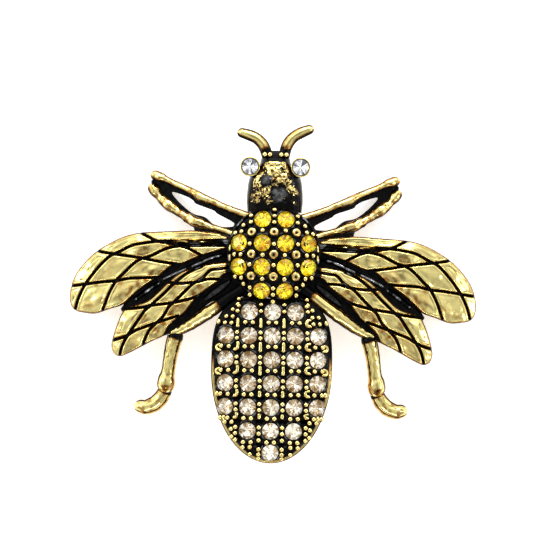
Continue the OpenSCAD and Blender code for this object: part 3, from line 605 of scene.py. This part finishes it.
def antique_gold(name, scratched=False):
    """Gold that turns brown and black with the patina and painted shade of the mesh, and metallic grey
    where the mesh holds a painted sheen, with spots and pits, and with bare strokes through the black if it
    is scratched"""
    m = Nodes(name)
    uneven = 0.4 if scratched else 0.22
    spots = m.map(m.noise(0.5, 4, 0.6, 1.2), 0.3, 0.7, 1 - uneven, 1 + uneven)
    # How dark the gold turns: the patina and painted shade of the mesh, broken up by spots
    darkness = m.math("MULTIPLY", m.patina_shade_sheen(), spots)
    if scratched:
        for size in (1.7, 1.2):
            away = m.math("ABSOLUTE", m.math("SUBTRACT", m.noise(size, 2, 0.6, 1), 0.5), 0)
            stroke = m.map(away, 0.012, 0.048, 0.75, 0)
            bare = m.math("MULTIPLY", stroke, m.map(m.patina_shade_sheen(), 0.96, 1, 1, 0))
            darkness = m.math("SUBTRACT", darkness, bare, clamp=True)
    pits = m.map(m.specks(1.1), 0.03, 0.1, 1, 0)
    pits = m.math("MULTIPLY", pits, m.map(m.noise(2.2, 1), 0.54, 0.66))
    darkness = m.math("MAXIMUM", darkness, m.math("MULTIPLY", pits, 0.45))
    black = m.map(darkness, 0.48, 0.66)
    browned = m.map(darkness, 0.12, 0.52)
    # Painted reflection: above 1 the black turns metallic grey, broken up by noise, as if the glossy black
    # caught the light
    glints = m.map(m.noise(0.7, 2), 0.4, 0.6, 0.3, 1)
    sheen = m.math("MULTIPLY", m.map(m.patina_shade_sheen(), 1.1, 1.8), glints)
    mottle = m.math("MULTIPLY", m.map(m.noise(2.6, 3, 0.6), 0.5, 0.7), 0.6)
    gold = m.mix(mottle, GOLD, GOLD_WARM)
    gold = m.mix(browned, gold, BROWN)
    m.set("Base Color", m.mix(sheen, m.mix(black, gold, BLACK), SHEEN_GREY))
    m.set("Metallic", m.math("MAXIMUM", m.map(black, 0, 1, 1, 0), sheen))
    m.set("Roughness", m.map(m.noise(0.8, 3), 0.3, 0.7, 0.1, 0.22))
    m.set("Specular IOR Level", 0.08)
    height = m.math("ADD", m.noise(1.9, 2), m.math("MULTIPLY", m.noise(0.45, 1), 0.06))
    m.bump(m.math("SUBTRACT", height, m.math("MULTIPLY", pits, 0.25)), 0.085)
    return m.material


def pin_metal():
    m = Nodes("pin_metal")
    m.set("Base Color", m.mix(m.map(m.noise(1.5, 3), 0.35, 0.7), PIN_GOLD, PIN_DULL))
    m.set("Metallic", 1.0)
    m.set("Roughness", m.map(m.noise(0.3, 2), 0.3, 0.7, 0.2, 0.36))
    m.bump(m.noise(0.4, 2), 0.03)
    return m.material


def by_facet(m, low, high):
    """A share from 0 to 1 that jumps from facet to facet"""
    facing = m.new("NewGeometry")
    return m.map(m.noise(0.16, 0, vector=facing.outputs["True Normal"]), low, high)


def glass(name, light, deep, cloud, shaded_facets=None):
    """The front of a stone: clear glass, tinted a little unevenly, as rough as cloud says in places,
    with some facets painted darker as shade if a colour for them is given"""
    m = Nodes(name)
    tint = m.mix(m.map(m.noise(1.1, 2), 0.35, 0.65), light, deep)
    if shaded_facets:
        tint = m.mix(by_facet(m, 0.5, 0.55), tint, shaded_facets)
    m.set("Base Color", tint)
    m.set("Transmission Weight", 1.0)
    m.set("IOR", 1.5)
    m.set("Roughness", m.map(m.noise(0.5, 2), 0.35, 0.7, 0.0, cloud))
    m.bump(m.noise(0.5, 1), 0.003)
    return m.material


def foil(name, light, deep, glow):
    """The silvered back of a stone, with some facets painted lighter than others as lit and shaded
    facets. glow stands for the light that goes to and fro between its facets."""
    m = Nodes(name)
    tint = m.mix(by_facet(m, 0.56, 0.62), light, deep)
    m.set("Base Color", tint)
    m.set("Metallic", 0.9)
    m.set("Roughness", m.map(m.noise(0.4, 2), 0.3, 0.7, 0.05, 0.12))
    m.set("Emission Color", tint)
    m.set("Emission Strength", glow)
    m.bump(m.noise(0.6, 1), 0.006)
    return m.material


gold_metal = antique_gold("antique_gold")
scratched_gold = antique_gold("scratched_gold", scratched=True)


def piece(name, parts, material=gold_metal):
    """One mesh of several closed parts, riding on the brooch"""
    points = np.vstack([p for p, _, _ in parts])
    points[:, 1] += BODY_Y
    start, loops, totals = 0, [], []
    for p, faces, _ in parts:
        for f in faces:
            loops.append((f + start).ravel())
            totals.append(np.full(len(f), f.shape[1]))
        start += len(p)
    loops, totals = np.concatenate(loops), np.concatenate(totals)
    mesh = bpy.data.meshes.new(name)
    mesh.vertices.add(len(points))
    mesh.vertices.foreach_set("co", (points * MM).ravel())
    mesh.loops.add(len(loops))
    mesh.loops.foreach_set("vertex_index", loops.astype(np.int32))
    mesh.polygons.add(len(totals))
    starts = np.concatenate([[0], np.cumsum(totals)[:-1]])
    mesh.polygons.foreach_set("loop_start", starts.astype(np.int32))
    mesh.update(calc_edges=True)
    mesh.shade_smooth()
    patina_shade_sheen = mesh.attributes.new("patina_shade_sheen", "FLOAT", "POINT")
    patina_shade_sheen.data.foreach_set("value", np.concatenate([d for _, _, d in parts]).astype(np.float32))
    mesh.set_sharp_from_angle(angle=math.radians(SHARP_ANGLE))
    mesh.materials.append(material)
    obj = bpy.data.objects.new(name, mesh)
    bpy.context.scene.collection.objects.link(obj)
    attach(obj, "root")
    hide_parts("casting")


# Surfaces of the body

def thorax_z(x, y):
    return BACK_Z + THORAX_WALL + THORAX_CROWN * (1 - (x / DOME_R) ** 2 - (y / (DOME_LONG * DOME_R)) ** 2)


def abdomen_z(x, y):
    reach = np.where(y > ABDOMEN_Y, ABDOMEN_FRONT, ABDOMEN_BACK)
    drop = np.abs(x / ABDOMEN_R) ** DOME_POWER + np.abs((y - ABDOMEN_Y) / reach) ** DOME_POWER
    return BACK_Z + ABDOMEN_WALL + ABDOMEN_CROWN * (1 - drop)


def on_surface(height, x, y):
    """A point of a surface and the direction square to it"""
    h = 0.05
    slope_x = (height(x + h, y) - height(x - h, y)) / (2 * h)
    slope_y = (height(x, y + h) - height(x, y - h)) / (2 * h)
    return (x, y, float(height(x, y))), (-float(slope_x), -float(slope_y), 1)


def stone_axis(mesh):
    """The direction square to a stone's table, its largest facet"""
    normals = np.array([f.normal for f in mesh.polygons])
    areas = np.array([f.area for f in mesh.polygons])
    return normals[np.argmax((normals @ normals.T > 0.999) @ areas)]


def stone_meshes(prefix):
    return [node.data for name, node in sorted(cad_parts.items()) if name.startswith(prefix)]


def stone_places(prefix):
    """Middle of the girdle and axis of each stone, read from its mesh"""
    found = []
    for mesh in stone_meshes(prefix):
        p = np.array([v.co for v in mesh.vertices]) / MM
        p[:, 1] -= BODY_Y
        axis = stone_axis(mesh)
        tip = p[np.argmin(p @ axis)]
        found.append((tip + TIP_DEPTH * axis, axis))
    return found


def off_axis(d, axis):
    """The part of each vector that is square to the axis"""
    return d - (d @ axis)[:, None] * axis


def sunk_seats(p, z, stones):
    """Pockets under the stones with a low rounded lip round each"""
    for centre, axis in stones:
        d = np.column_stack([p, z]) - centre
        near = np.hypot(d[:, 0], d[:, 1]) < SEAT_REACH
        off = off_axis(d, axis)
        r = np.linalg.norm(off, axis=1)
        tilt = (off[:, 0] * axis[0] + off[:, 1] * axis[1]) / axis[2]
        floor = centre[2] - POCKET_TOP - POCKET_DEPTH * (1 - np.clip(r / POCKET_R, 0, 1)) - tilt
        z = np.where(near, z + LIP_H * hump(r, LIP_R, LIP_W), z)
        z = np.where(near & (r < POCKET_R), np.minimum(z, floor), z)
    return z


def lip_shine(p, surface, stones, seed):
    """Broken arcs of light round the seats"""
    shine = np.zeros(len(p))
    for centre, axis in stones:
        d = np.column_stack([p, surface(*p.T)]) - centre
        r = np.linalg.norm(off_axis(d, axis), axis=1)
        shine = np.maximum(shine, hump(r, SHINE_R, SHINE_W) * (np.abs(d @ axis) < 1))
    return shine * ramp(waves(p, 1.9, seed), -0.1, 0.45)


def round_over(edge, r):
    """Drop of a rounded edge of the given radius"""
    e = np.clip(edge, 0, r)
    return -(r - np.sqrt(np.maximum(r * r - (r - e) ** 2, 0)))


# Thorax

citrines = stone_places("citrine_stone")
champagnes = stone_places("champagne_stone")


def thorax_top(p, edge):
    x, y = p.T
    r = np.hypot(x, y)
    z = thorax_z(x, y)
    collar = BACK_Z + THORAX_WALL + COLLAR_H
    z = z + 0.05 * waves(p, 1.6, 3)
    z = np.where(r > DOME_R - 0.25, np.minimum(z, collar - 0.25), z)
    z = np.where(r > DOME_R, collar - 0.02, z)
    z = sunk_seats(p, z, citrines)
    z = z + 0.8 * round_over(edge, 0.3)
    # Above 1, a painted silvery reflection along the collar's edge, and from lip_shine round the seats
    patina_shade_sheen = 1 + 0.9 * hump(edge, 0.2, 0.1) * ramp(waves(p, 2.6, 7), 0.1, 0.6)
    return z, patina_shade_sheen + 0.5 * lip_shine(p, thorax_z, citrines, 8)


def grains(surface, table, r, **shape):
    """Beads at the places of a table, on both sides of the middle"""
    return [grain(*on_surface(surface, sign * x * COLUMN, y * ROW - GRID_DROP), r, **shape)
            for x, y in table for sign in ((-1, 1) if x else (1,))]


circle = np.array([(THORAX_R * math.cos(a), THORAX_R * math.sin(a))
                   for a in np.linspace(0, 2 * math.pi, 96, endpoint=False)])
piece("thorax", [relief([circle], thorax_top, level(BACK_Z), cell=0.11)])
thorax_grains = grains(thorax_z, THORAX_BEADS, BEAD_R)
thorax_grains += grains(thorax_z, THORAX_BALLS, BALL_R, height=0.76, sunk=0.45, dimple=0.35)
for sign in (-1, 1):
    for x, y in SIDE_PRONGS:
        thorax_grains.append(grain(*on_surface(thorax_z, sign * x, y), SIDE_PRONG_R, long=2.6, sunk=0.1))
piece("thorax_beads", thorax_grains)


# Abdomen

def abdomen_ring():
    a = np.linspace(0, 2 * math.pi, 160, endpoint=False)
    ahead = np.sin(a) > 0
    power = np.where(ahead, SHOULDER_POWER, TAIL_POWER)
    reach = np.where(ahead, ABDOMEN_FRONT, ABDOMEN_BACK)
    x = ABDOMEN_R * np.sign(np.cos(a)) * np.abs(np.cos(a)) ** (2 / power)
    y = ABDOMEN_Y + reach * np.sign(np.sin(a)) * np.abs(np.sin(a)) ** (2 / power)
    return np.column_stack([x, y])


def row_y(row, dy):
    """Y of a place dy rows in front of a row's stones"""
    return FIRST_ROW_Y - ABDOMEN_ROWS[row][1] * ROW + dy * ROW


def abdomen_top(p, edge):
    x, y = p.T
    z = np.maximum(abdomen_z(x, y), BACK_Z + 0.9)
    z = z + 0.04 * waves(p, 1.5, 5)
    for row in GROOVE_ROWS:
        z = z - GROOVE_DEPTH * hump(y, row_y(row, GROOVE_PLACE), GROOVE_W)
    z = sunk_seats(p, z, champagnes)
    ledge = BACK_Z + ABDOMEN_WALL - 0.25
    rim = edge < RIM_W
    z = np.where(rim, np.minimum(z, ledge), z) + 0.7 * round_over(edge, 0.25) * rim
    bare = ramp(-y, 13, 18)
    patina_shade_sheen = np.where(rim, 1 - bare * (0.1 + 0.85 * ramp(edge, 0.04, 0.24)), 1.0)
    return z, patina_shade_sheen + 0.5 * lip_shine(p, abdomen_z, champagnes, 9)


piece("abdomen", [relief([abdomen_ring()], abdomen_top, level(ABDOMEN_Z), cell=0.12)])
abdomen_grains = []


def abdomen_grain(x, y, r=BEAD_R, **shape):
    abdomen_grains.append(grain(*on_surface(abdomen_z, x, y), r, **shape))


for row, (stones, _, *gap) in enumerate(ABDOMEN_ROWS):
    outer = stones / 2 if stones < 5 else stones / 2 - 1
    for x in np.arange(-outer, outer + 0.5):
        for place in gap[:3 if row > 4 else 2]:
            abdomen_grain(x * COLUMN, row_y(row, place))
    if stones > 1:
        for i in range(stones):
            for step in (-LINE_STEP, LINE_STEP):
                abdomen_grain((i - (stones - 1) / 2 + step) * COLUMN, row_y(row, LINE_PLACE), LINE_BEAD_R)
for row, x, dy in LOOSE_BEADS:
    for sign in (-1, 1):
        abdomen_grain(sign * x * COLUMN, row_y(row, dy))


def prong(x, y, shape, size, sign=1):
    """A prong pressed down into a bar or a hook. Columns of the shape: X, Y."""
    rows = spline(np.array(shape) * size, 4)
    px, py = x + sign * rows[:, 0], y + rows[:, 1]
    thick = np.linspace(*PRONG_R, len(rows))
    return tube(np.column_stack([px, py, abdomen_z(px, py) + 0.12, thick]), sides=12,
                patina_shade_sheen=lambda along, inward: 1 - ramp(inward, -0.1, 0.18))


BAR = [(0, 0.5), (0.02, 0), (0, -0.5)]
JAY = [(0.08, 0.55), (0.1, 0.05), (-0.02, -0.3), (-0.32, -0.42)]
CEE = [(0.42, 0.5), (0.05, 0.36), (-0.08, 0), (0.08, -0.34), (0.45, -0.42)]
# Columns: row, X in columns, shape, size
PRONGS = [
    (0, -1.5, BAR, 0.9), (0, -0.5, BAR, 1), (0, 0.5, BAR, 1), (0, 1.5, CEE, 1),
    (1, -1.5, JAY, 1), (1, -0.5, BAR, 1), (1, 0.5, BAR, 1), (1, 1.5, CEE, 1),
    (2, -1.5, JAY, 1), (2, -0.5, BAR, 1), (2, 0.5, BAR, 0.9), (2, 1.5, CEE, 0.95),
    (3, -1.5, JAY, 0.8), (3, -0.5, BAR, 0.5), (3, 0.5, BAR, 0.6), (3, 1.5, CEE, 0.9),
    (4, -1.5, JAY, 0.7), (4, -0.5, BAR, 0.4), (4, 0.5, BAR, 0.3), (4, 1.5, CEE, 0.6)
]
# Hooks and long beads next to the rim. Columns of the beads: row, X.
RIM_HOOK_ROWS = (1, 2)
RIM_HOOK_X = 7.95
RIM_BEADS = [(0, 7.7), (3, 7.75), (4, 6.75)]
RIM_BEAD_R = 0.38
for row, x, shape, size in PRONGS:
    abdomen_grains.append(prong(x * COLUMN, row_y(row, ABDOMEN_ROWS[row][4]), shape, size))
for row in RIM_HOOK_ROWS:
    for sign in (-1, 1):
        abdomen_grains.append(prong(sign * RIM_HOOK_X, row_y(row, -0.53), CEE, 0.85, -sign))
for row, x in RIM_BEADS:
    for sign in (-1, 1):
        abdomen_grain(sign * x, row_y(row, -0.47), RIM_BEAD_R, long=1.3)
piece("abdomen_beads", abdomen_grains)


# Head

def head_ring():
    rows = [(half, y) for y, half, _ in HEAD_SECTIONS]
    right = spline(rows, 6)
    return np.vstack([right, right[::-1] * np.array([-1, 1])])


def head_top(p, edge):
    x, y = p.T
    ys, halves, heights = np.array(HEAD_SECTIONS).T
    half, height = np.interp(y, ys, halves), np.interp(y, ys, heights)
    u = np.clip(np.abs(x) / half, 0, 1)
    z = HEAD_Z + height * (1 - u ** HEAD_POWER) ** 0.5
    plateau = np.interp(y, *np.array(HEAD_TOP).T)
    flat = 1 - ramp(np.abs(x), plateau - 0.6, plateau + 0.3)
    flat *= ramp(y, 6.8, 7.8) * (1 - ramp(y, 12.7, 13.3))
    z = z + flat * (0.08 * waves(p, 1.6, 11) + 0.05 * waves(p, 0.6, 12))
    bare = 0.24 * ramp(y, 8.5, 12) - 0.01 + 0.14 * waves(p, 2.4, 14)
    for seed, (a, b) in enumerate(STROKES):
        strokes = waves(p @ np.array([[a * 0.3, -b], [b * 0.3, a]]), 0.6, 60 + seed)
        bare = bare + 0.11 * ramp(strokes, 0.15, 0.5)
    patch = np.max([hump(np.hypot(x - px, y - py), 0, r) for px, py, r in SHEEN_PLACES], 0)
    bare = bare - 0.5 * patch
    patina_shade_sheen = np.clip(1 - flat * bare, 0, 1)
    # Painted grey sheen on the black of the flat top, strongest at the grey places
    shine = np.maximum(ramp(waves(p, 2.6, 15), 0.1, 0.9), 1.3 * patch)
    return z, patina_shade_sheen + 0.35 * flat * shine * ramp(patina_shade_sheen, 0.8, 0.95)


piece("head", [relief([head_ring()], head_top, level(HEAD_Z), cell=0.1)], scratched_gold)

strut = tube(STRUT, sides=16, patina_shade_sheen=lambda along, inward: np.ones_like(along))
cup = turned(CUP, (EYE_X, EYE_Y, EYE_Z))
for side, (sign, *_) in SIDES.items():
    piece(f"eye_cup_{side}", [mirrored(strut, sign), mirrored(cup, sign)])


# Antennae

def turned_about(points, centre, degrees):
    """Points turned in the plane of X and Y"""
    a = math.radians(degrees)
    x, y = points[:, 0] - centre[0], points[:, 1] - centre[1]
    return np.column_stack([centre[0] + x * math.cos(a) - y * math.sin(a),
                            centre[1] + x * math.sin(a) + y * math.cos(a), points[:, 2:]])


def feeler_patina_and_shade(along, inward):
    """Dark edges, partly painted shade, and a black root"""
    return np.maximum(0.85 * (1 - ramp(inward, -0.04, 0.64)), 1 - ramp(along, 0.04, 0.4))


for side, (sign, _, _, turn, stretch, _) in SIDES.items():
    rows = spline(ANTENNA, 8)
    root = rows[0, :2]
    rows[:, :2] = root + (rows[:, :2] - root) * stretch
    path = np.column_stack([rows[:, :2], np.full(len(rows), ANTENNA_Z), rows[:, 2]])
    feeler = tube(turned_about(path, root, turn), sides=28, patina_shade_sheen=feeler_patina_and_shade)
    beads = [grain((BROW_X + x, BROW_Y, BROW_Z), (0, 0, 1), BEAD_R) for x in (-BROW_GAP, BROW_GAP)]
    piece(f"antenna_{side}", [mirrored(q, sign) for q in (feeler, *beads)])


# Wings

def droop(x):
    return WING_DROOP * (np.maximum(np.abs(x) - FLAT_REACH, 0) / (WING_REACH - FLAT_REACH)) ** 2


def to_any(p, lines):
    """Distance from each point to the nearest of several lines"""
    return np.min([to_line(p, line)[0] for line in lines], 0)


def wing_top(veins, browning, seed, slivers=()):
    """Top of a wing: crowned cells with burnished rims between sunk black veins, browner along a given
    line, and a painted silvery sheen on the veins near the root
    """
    lines = [spline(vein, 5) for vein in veins]

    def top(p, edge):
        x = p[:, 0]
        vein = to_any(p, lines)
        nearest = np.minimum(vein, edge + 0.12)
        z = WING_Z + WING_T + CELL_H - droop(x)
        z = z - 0.22 * (1 - ramp(edge, -0.2, 1.5))
        z = z - VEIN_DEPTH * (1 - ramp(vein, 0.06, 0.26))
        z = z + BURNISH_H * hump(nearest, 0.36, 0.15)
        z = z + CROWN_H * (1 - (1 - np.clip(nearest / CROWN_W, 0, 1)) ** 2)
        z = z + 0.15 * waves(p, 5, seed) + 0.035 * waves(p, 1.7, seed + 1)
        z = z + round_over(edge, 0.35)
        patina_shade_sheen = 1 - ramp(vein, 0.08, 0.3)
        patina_shade_sheen = np.maximum(patina_shade_sheen, 0.72 * (1 - ramp(edge, 0, 0.44)))
        patina_shade_sheen = np.maximum(patina_shade_sheen, 1 - ramp(x, 6.6, 7.4))
        for sliver in slivers:
            near = to_line(p, np.array(sliver))[0]
            z = z + 0.12 * hump(near, 0, 0.2)
            patina_shade_sheen = patina_shade_sheen - 1.1 * hump(near, 0, 0.13)
        patina_shade_sheen = np.maximum(patina_shade_sheen, 0.33 * ramp(waves(p, 3.2, seed + 2), 0.35, 0.9))
        brown = hump(to_line(p, np.array(browning))[0], 0, 0.9) * ramp(waves(p, 1.6, seed), -0.9, 0.5)
        patina_shade_sheen = np.maximum(patina_shade_sheen, 0.45 * brown)
        # Painted silvery sheen along the veins near the root
        shine = hump(vein, 0, 0.12) * ramp(waves(p, 2.2, seed + 3), 0.1, 0.6)
        return z, np.clip(patina_shade_sheen, 0, 1) + 0.7 * shine * (1 - ramp(x, 9, 17))

    return top


def web_top(p, edge):
    """Top of the black web between the wings, with fine ridges and one raised facet that tapers, and a
    painted silvery sheen along the ridges and a fainter one on the facet
    """
    ridge = to_any(p, [spline(line, 5) for line in WEB_RIDGES])
    z = WING_Z + WEB_H - droop(p[:, 0]) + 0.05 * waves(p, 1.8, 31) + RIDGE_H * hump(ridge, 0, 0.22)
    ends = np.array(WEB_FACET)
    middle = ends.mean(0)
    facet, foot = to_line(p, ends)
    facet = facet + 0.22 * (np.hypot(*(foot - middle).T) / np.hypot(*(ends[1] - middle))) ** 2
    z = z + 0.35 * (1 - ramp(facet, 0.4, 0.55))
    patina_shade_sheen = 1 + hump(ridge, 0, 0.14) * ramp(waves(p, 1.4, 33), -0.6, 0.2)
    patina_shade_sheen = patina_shade_sheen + 0.22 * (1 - ramp(facet, 0.25, 0.45))
    return z + 0.6 * round_over(edge, 0.25), patina_shade_sheen


def wing_bottom(p):
    return WING_Z - droop(p[:, 0])


WING_PARTS = {
    "fore_wing": relief([spline(FORE_WING, 5, True)], wing_top(FORE_VEINS, FORE_BROWNING, 21, SLIVERS),
                        wing_bottom, cell=0.1),
    "hind_wing": relief([spline(HIND_WING, 5, True)], wing_top(HIND_VEINS, HIND_BROWNING, 24),
                        wing_bottom, cell=0.11),
    "wing_web": relief([spline(WING_WEB, 4, True)], web_top, lambda p: wing_bottom(p) + 0.02, cell=0.14)
}
for side, (sign, back, *_) in SIDES.items():
    for name, part in WING_PARTS.items():
        piece(f"{name}_{side}", [mirrored(part, sign, -back)])


# Legs

def limb_z(rise, r):
    """Height of a limb's middle, which lies on the ground where rise is 0"""
    return rise * LEG_ROOT_Z + (1 - rise) * 0.85 * r


def limb_path(rows, reach, thickness, rise):
    r = thickness * rows[:, 2]
    return np.column_stack([reach * rows[:, :2], np.maximum(limb_z(rise, r), r), r])


def fore_rise(share):
    """1 at the root of the fore leg and 0 at the tip of the middle leg, from X as a share of the reach"""
    root, tip = FORE_LIMB[0][0], MID_LIMB[-1][0]
    return 1 - (share - root) / (tip - root)


def fore_path(table):
    rows = spline(table, 6)
    return limb_path(rows, FORE_REACH, FORE_D, fore_rise(rows[:, 0]))


def hind_path(table):
    rows = spline(table, 6)
    return limb_path(rows, HIND_REACH, HIND_D, rows[:, 3])


def leg_web_z(p):
    rise = fore_rise(p[:, 0] / FORE_REACH)
    return np.maximum(limb_z(rise, 0.3) + 0.1, 0.45) + 0.03 * waves(p, 1.5, 41)


def leg_web_top(p, edge):
    return leg_web_z(p) + 0.5 * round_over(edge, 0.2), np.ones(len(p))


def leg_web_bottom(p):
    return np.maximum(leg_web_z(p) - LEG_WEB_T, 0.02)


web_plan = np.array([row[:2] for row in [*FORE_LIMB, LEG_WEB_TIP, *MID_LIMB[::-1]]]) * FORE_REACH
slit = spline(np.array(LEG_SLIT) * FORE_REACH, 4, True)
leg_web = relief([web_plan, slit], leg_web_top, leg_web_bottom, cell=0.12)
leg_wedge = relief([np.array(LEG_WEDGE)], leg_web_top, leg_web_bottom, cell=0.12)


def crease(along, inward):
    """Dark along the crease inside the outline, and black where the next part of the leg begins"""
    rim = 0.3 * (1 - ramp(inward, 0, 0.3)) + 0.72 * hump(inward, CREASE_IN, 0.11)
    return np.maximum(rim, 0.9 * (1 - ramp(along, 0.0, 0.06)))


def knee(along, inward):
    """The crease, and a brown hollow at the end"""
    return np.maximum(crease(along, inward), 0.58 * ramp(along, 0.93, 1) * ramp(inward, 0.3, 1))


def thigh_patina_and_shade(black):
    """Dark edges, partly painted shade, and black up to the given share of the length"""
    return lambda along, inward: np.maximum(dark_edges(along, inward),
                                            1 - 0.95 * ramp(along, black - 0.07, black + 0.07))


fore = [tube(fore_path(FORE_LIMB), lumps=0.08, flecks=0.4),
        tube(fore_path(MID_LIMB), lumps=0.12, flecks=0.4), leg_web, leg_wedge]
lower = [
    tube(hind_path(SHIN), sides=32, patina_shade_sheen=knee, lumps=0.05, flecks=0.25, shade=(-0.8, -0.6), groove=0.08),
    tube(hind_path(FOOT), sides=32, patina_shade_sheen=crease, lumps=0.03, flecks=0.36, shade=(-0.5, -0.87),
         groove=0.08)
]
for side, (sign, _, back, _, _, black) in SIDES.items():
    thigh = tube(hind_path(THIGH), patina_shade_sheen=thigh_patina_and_shade(black), lumps=0.08, flecks=0.25)
    piece(f"fore_leg_{side}", [mirrored(q, sign, -back) for q in fore])
    piece(f"hind_leg_{side}", [mirrored(q, sign) for q in (thigh, *lower)])


# Stones and pin keep their CAD shapes

# How much a stone's table and the facets round it at least face along its axis
TABLE_FACING, CROWN_FACING = 0.97, -0.2
# Roughness of the cloudiest glass
CLOUD = 0.01


def dress_stones(prefix, table, crown, back):
    """One material each for the flat table, the facets round it and the back of each stone"""
    for mesh in stone_meshes(prefix):
        mesh.materials.clear()
        for material in (table, crown, back):
            mesh.materials.append(material)
        axis = stone_axis(mesh)
        for face in mesh.polygons:
            facing = np.dot(face.normal, axis)
            face.material_index = 0 if facing > TABLE_FACING else 1 if facing > CROWN_FACING else 2


# Columns: start of the nodes' names, kind, glass, deeper glass, facets painted darker as shade, lit foil,
# foil painted darker as shade, glow.
STONES = [
    ("citrine_stone", "citrine", (1, 0.91, 0.05), (1, 0.85, 0.03), (0.5, 0.24, 0),
     (1, 0.97, 0.34), (0.58, 0.36, 0.015), 0.29),
    ("champagne_stone", "champagne", (1, 0.985, 0.93), (1, 0.955, 0.86), (0.26, 0.155, 0.06),
     (1, 0.99, 0.945), (0.52, 0.41, 0.26), 0.28),
    ("eye_stone", "clear", (1, 1, 1), (0.97, 0.98, 0.99), (0.22, 0.23, 0.26),
     (1, 1, 1), (0.12, 0.13, 0.15), 0.45)
]
for prefix, kind, *colours, glow in STONES:
    light, deep, shaded_facets, foil_lit, foil_shaded = (rgb(*c) for c in colours)
    dress_stones(prefix, glass(kind + "_table", light, deep, CLOUD),
                 glass(kind + "_crown", light, deep, CLOUD, shaded_facets),
                 foil(kind + "_foil", foil_lit, foil_shaded, glow))
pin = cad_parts["pin_finding"]
pin.data.materials.clear()
pin.data.materials.append(pin_metal())


# Floor, light and camera

def floor_material():
    m = Nodes("floor")
    m.set("Base Color", m.mix(m.noise(40, 2), rgb(0.9, 0.9, 0.9), rgb(0.86, 0.86, 0.86)))
    m.set("Roughness", 0.9)
    m.set("Emission Color", rgb(1, 1, 1))
    m.set("Emission Strength", 0.5)
    m.bump(m.noise(3, 2), 0.02)
    return m.material


# The floor's size in metres
FLOOR = 3
bpy.ops.mesh.primitive_plane_add(size=FLOOR, location=(0, 0, 0))
floor = bpy.context.object
floor.name = "floor"
floor.data.materials.append(floor_material())


# Levels of the tent of light. Columns: Z of the direction, brightness.
TENT = [
    (0.0, 0.3), (0.12, 0.5), (0.22, 1.6), (0.4, 1.8), (0.47, 0.3), (0.58, 0.25), (0.66, 1.5), (0.76, 1.05),
    (0.88, 0.78), (0.96, 0.56), (0.985, 0.36), (1.0, 0.23)
]
# Softboxes, all aimed at the brooch. Columns: name, place and size in metres, power.
SOFTBOXES = [
    ("softbox_top", (0.03, 0.38, 0.26), (0.3, 0.08), 1.2),
    ("softbox_front", (0, -0.36, 0.3), (0.3, 0.04), 0.4),
    ("softbox_left", (-0.4, 0.08, 0.24), (0.08, 0.24), 0.3),
    ("softbox_right", (0.4, -0.05, 0.24), (0.08, 0.22), 0.3)
]


def sky():
    """A soft tent of light, dimmer round the top, where a camera would stand, brighter behind the head
    than at the tail, and a little uneven like panels of cloth"""
    world = bpy.context.scene.world = bpy.data.worlds.new("studio")
    world.use_nodes = True
    tree = world.node_tree
    new, link = tree.nodes.new, tree.links.new
    background = tree.nodes["Background"]
    coordinates = new("ShaderNodeTexCoord")
    axes = new("ShaderNodeSeparateXYZ")
    link(coordinates.outputs["Generated"], axes.inputs[0])
    bands = new("ShaderNodeValToRGB")
    link(axes.outputs["Z"], bands.inputs[0])
    stops = bands.color_ramp.elements
    while len(stops) < len(TENT):
        stops.new(0.5)
    for stop, (place, brightness) in zip(stops, TENT):
        stop.position = place
        stop.color = rgb(brightness, brightness, brightness)

    def scaled(colour, value, *limits):
        """The colour times the value, which is mapped from two limits to two others"""
        share = new("ShaderNodeMapRange")
        link(value, share.inputs["Value"])
        preset(share, LIMITS, limits)
        product = new("ShaderNodeVectorMath")
        product.operation = "SCALE"
        link(colour, product.inputs[0])
        link(share.outputs["Result"], product.inputs["Scale"])
        return product.outputs[0]

    panels = new("ShaderNodeTexNoise")
    link(coordinates.outputs["Generated"], panels.inputs["Vector"])
    preset(panels, ("Scale", "Detail"), (2.3, 1))
    light = scaled(bands.outputs["Color"], axes.outputs["Y"], -1, 1, 0.35, 1.65)
    light = scaled(light, panels.outputs["Fac"], 0.36, 0.64, 0.6, 1.35)
    link(light, background.inputs["Color"])
    background.inputs["Strength"].default_value = 1.05


def softbox(name, place, size, power):
    light = bpy.data.lights.new(name, "AREA")
    light.shape = "RECTANGLE"
    light.size, light.size_y = size
    light.energy = power
    obj = bpy.data.objects.new(name, light)
    bpy.context.scene.collection.objects.link(obj)
    obj.location = place
    obj.rotation_euler = (-obj.location).to_track_quat("-Z", "Y").to_euler()


sky()
for row in SOFTBOXES:
    softbox(*row)

# The photograph looks straight down, turned a little, with a long lens.
ROLL = 1.1
FRAME_W = 80.49
LOOK_AT = (0.239, 2.906, 3.5)
LENS, SENSOR = 135, 36
camera_data = bpy.data.cameras.new("camera")
camera_data.lens, camera_data.sensor_width = LENS, SENSOR
camera_data.clip_start, camera_data.clip_end = 0.01, 10
camera = bpy.data.objects.new("camera", camera_data)
bpy.context.scene.collection.objects.link(camera)
camera.location = (LOOK_AT[0] * MM, LOOK_AT[1] * MM, (LOOK_AT[2] + FRAME_W * LENS / SENSOR) * MM)
camera.rotation_euler = (0, 0, math.radians(ROLL))
bpy.context.scene.camera = camera
bpy.context.scene.view_settings.view_transform = "Standard"
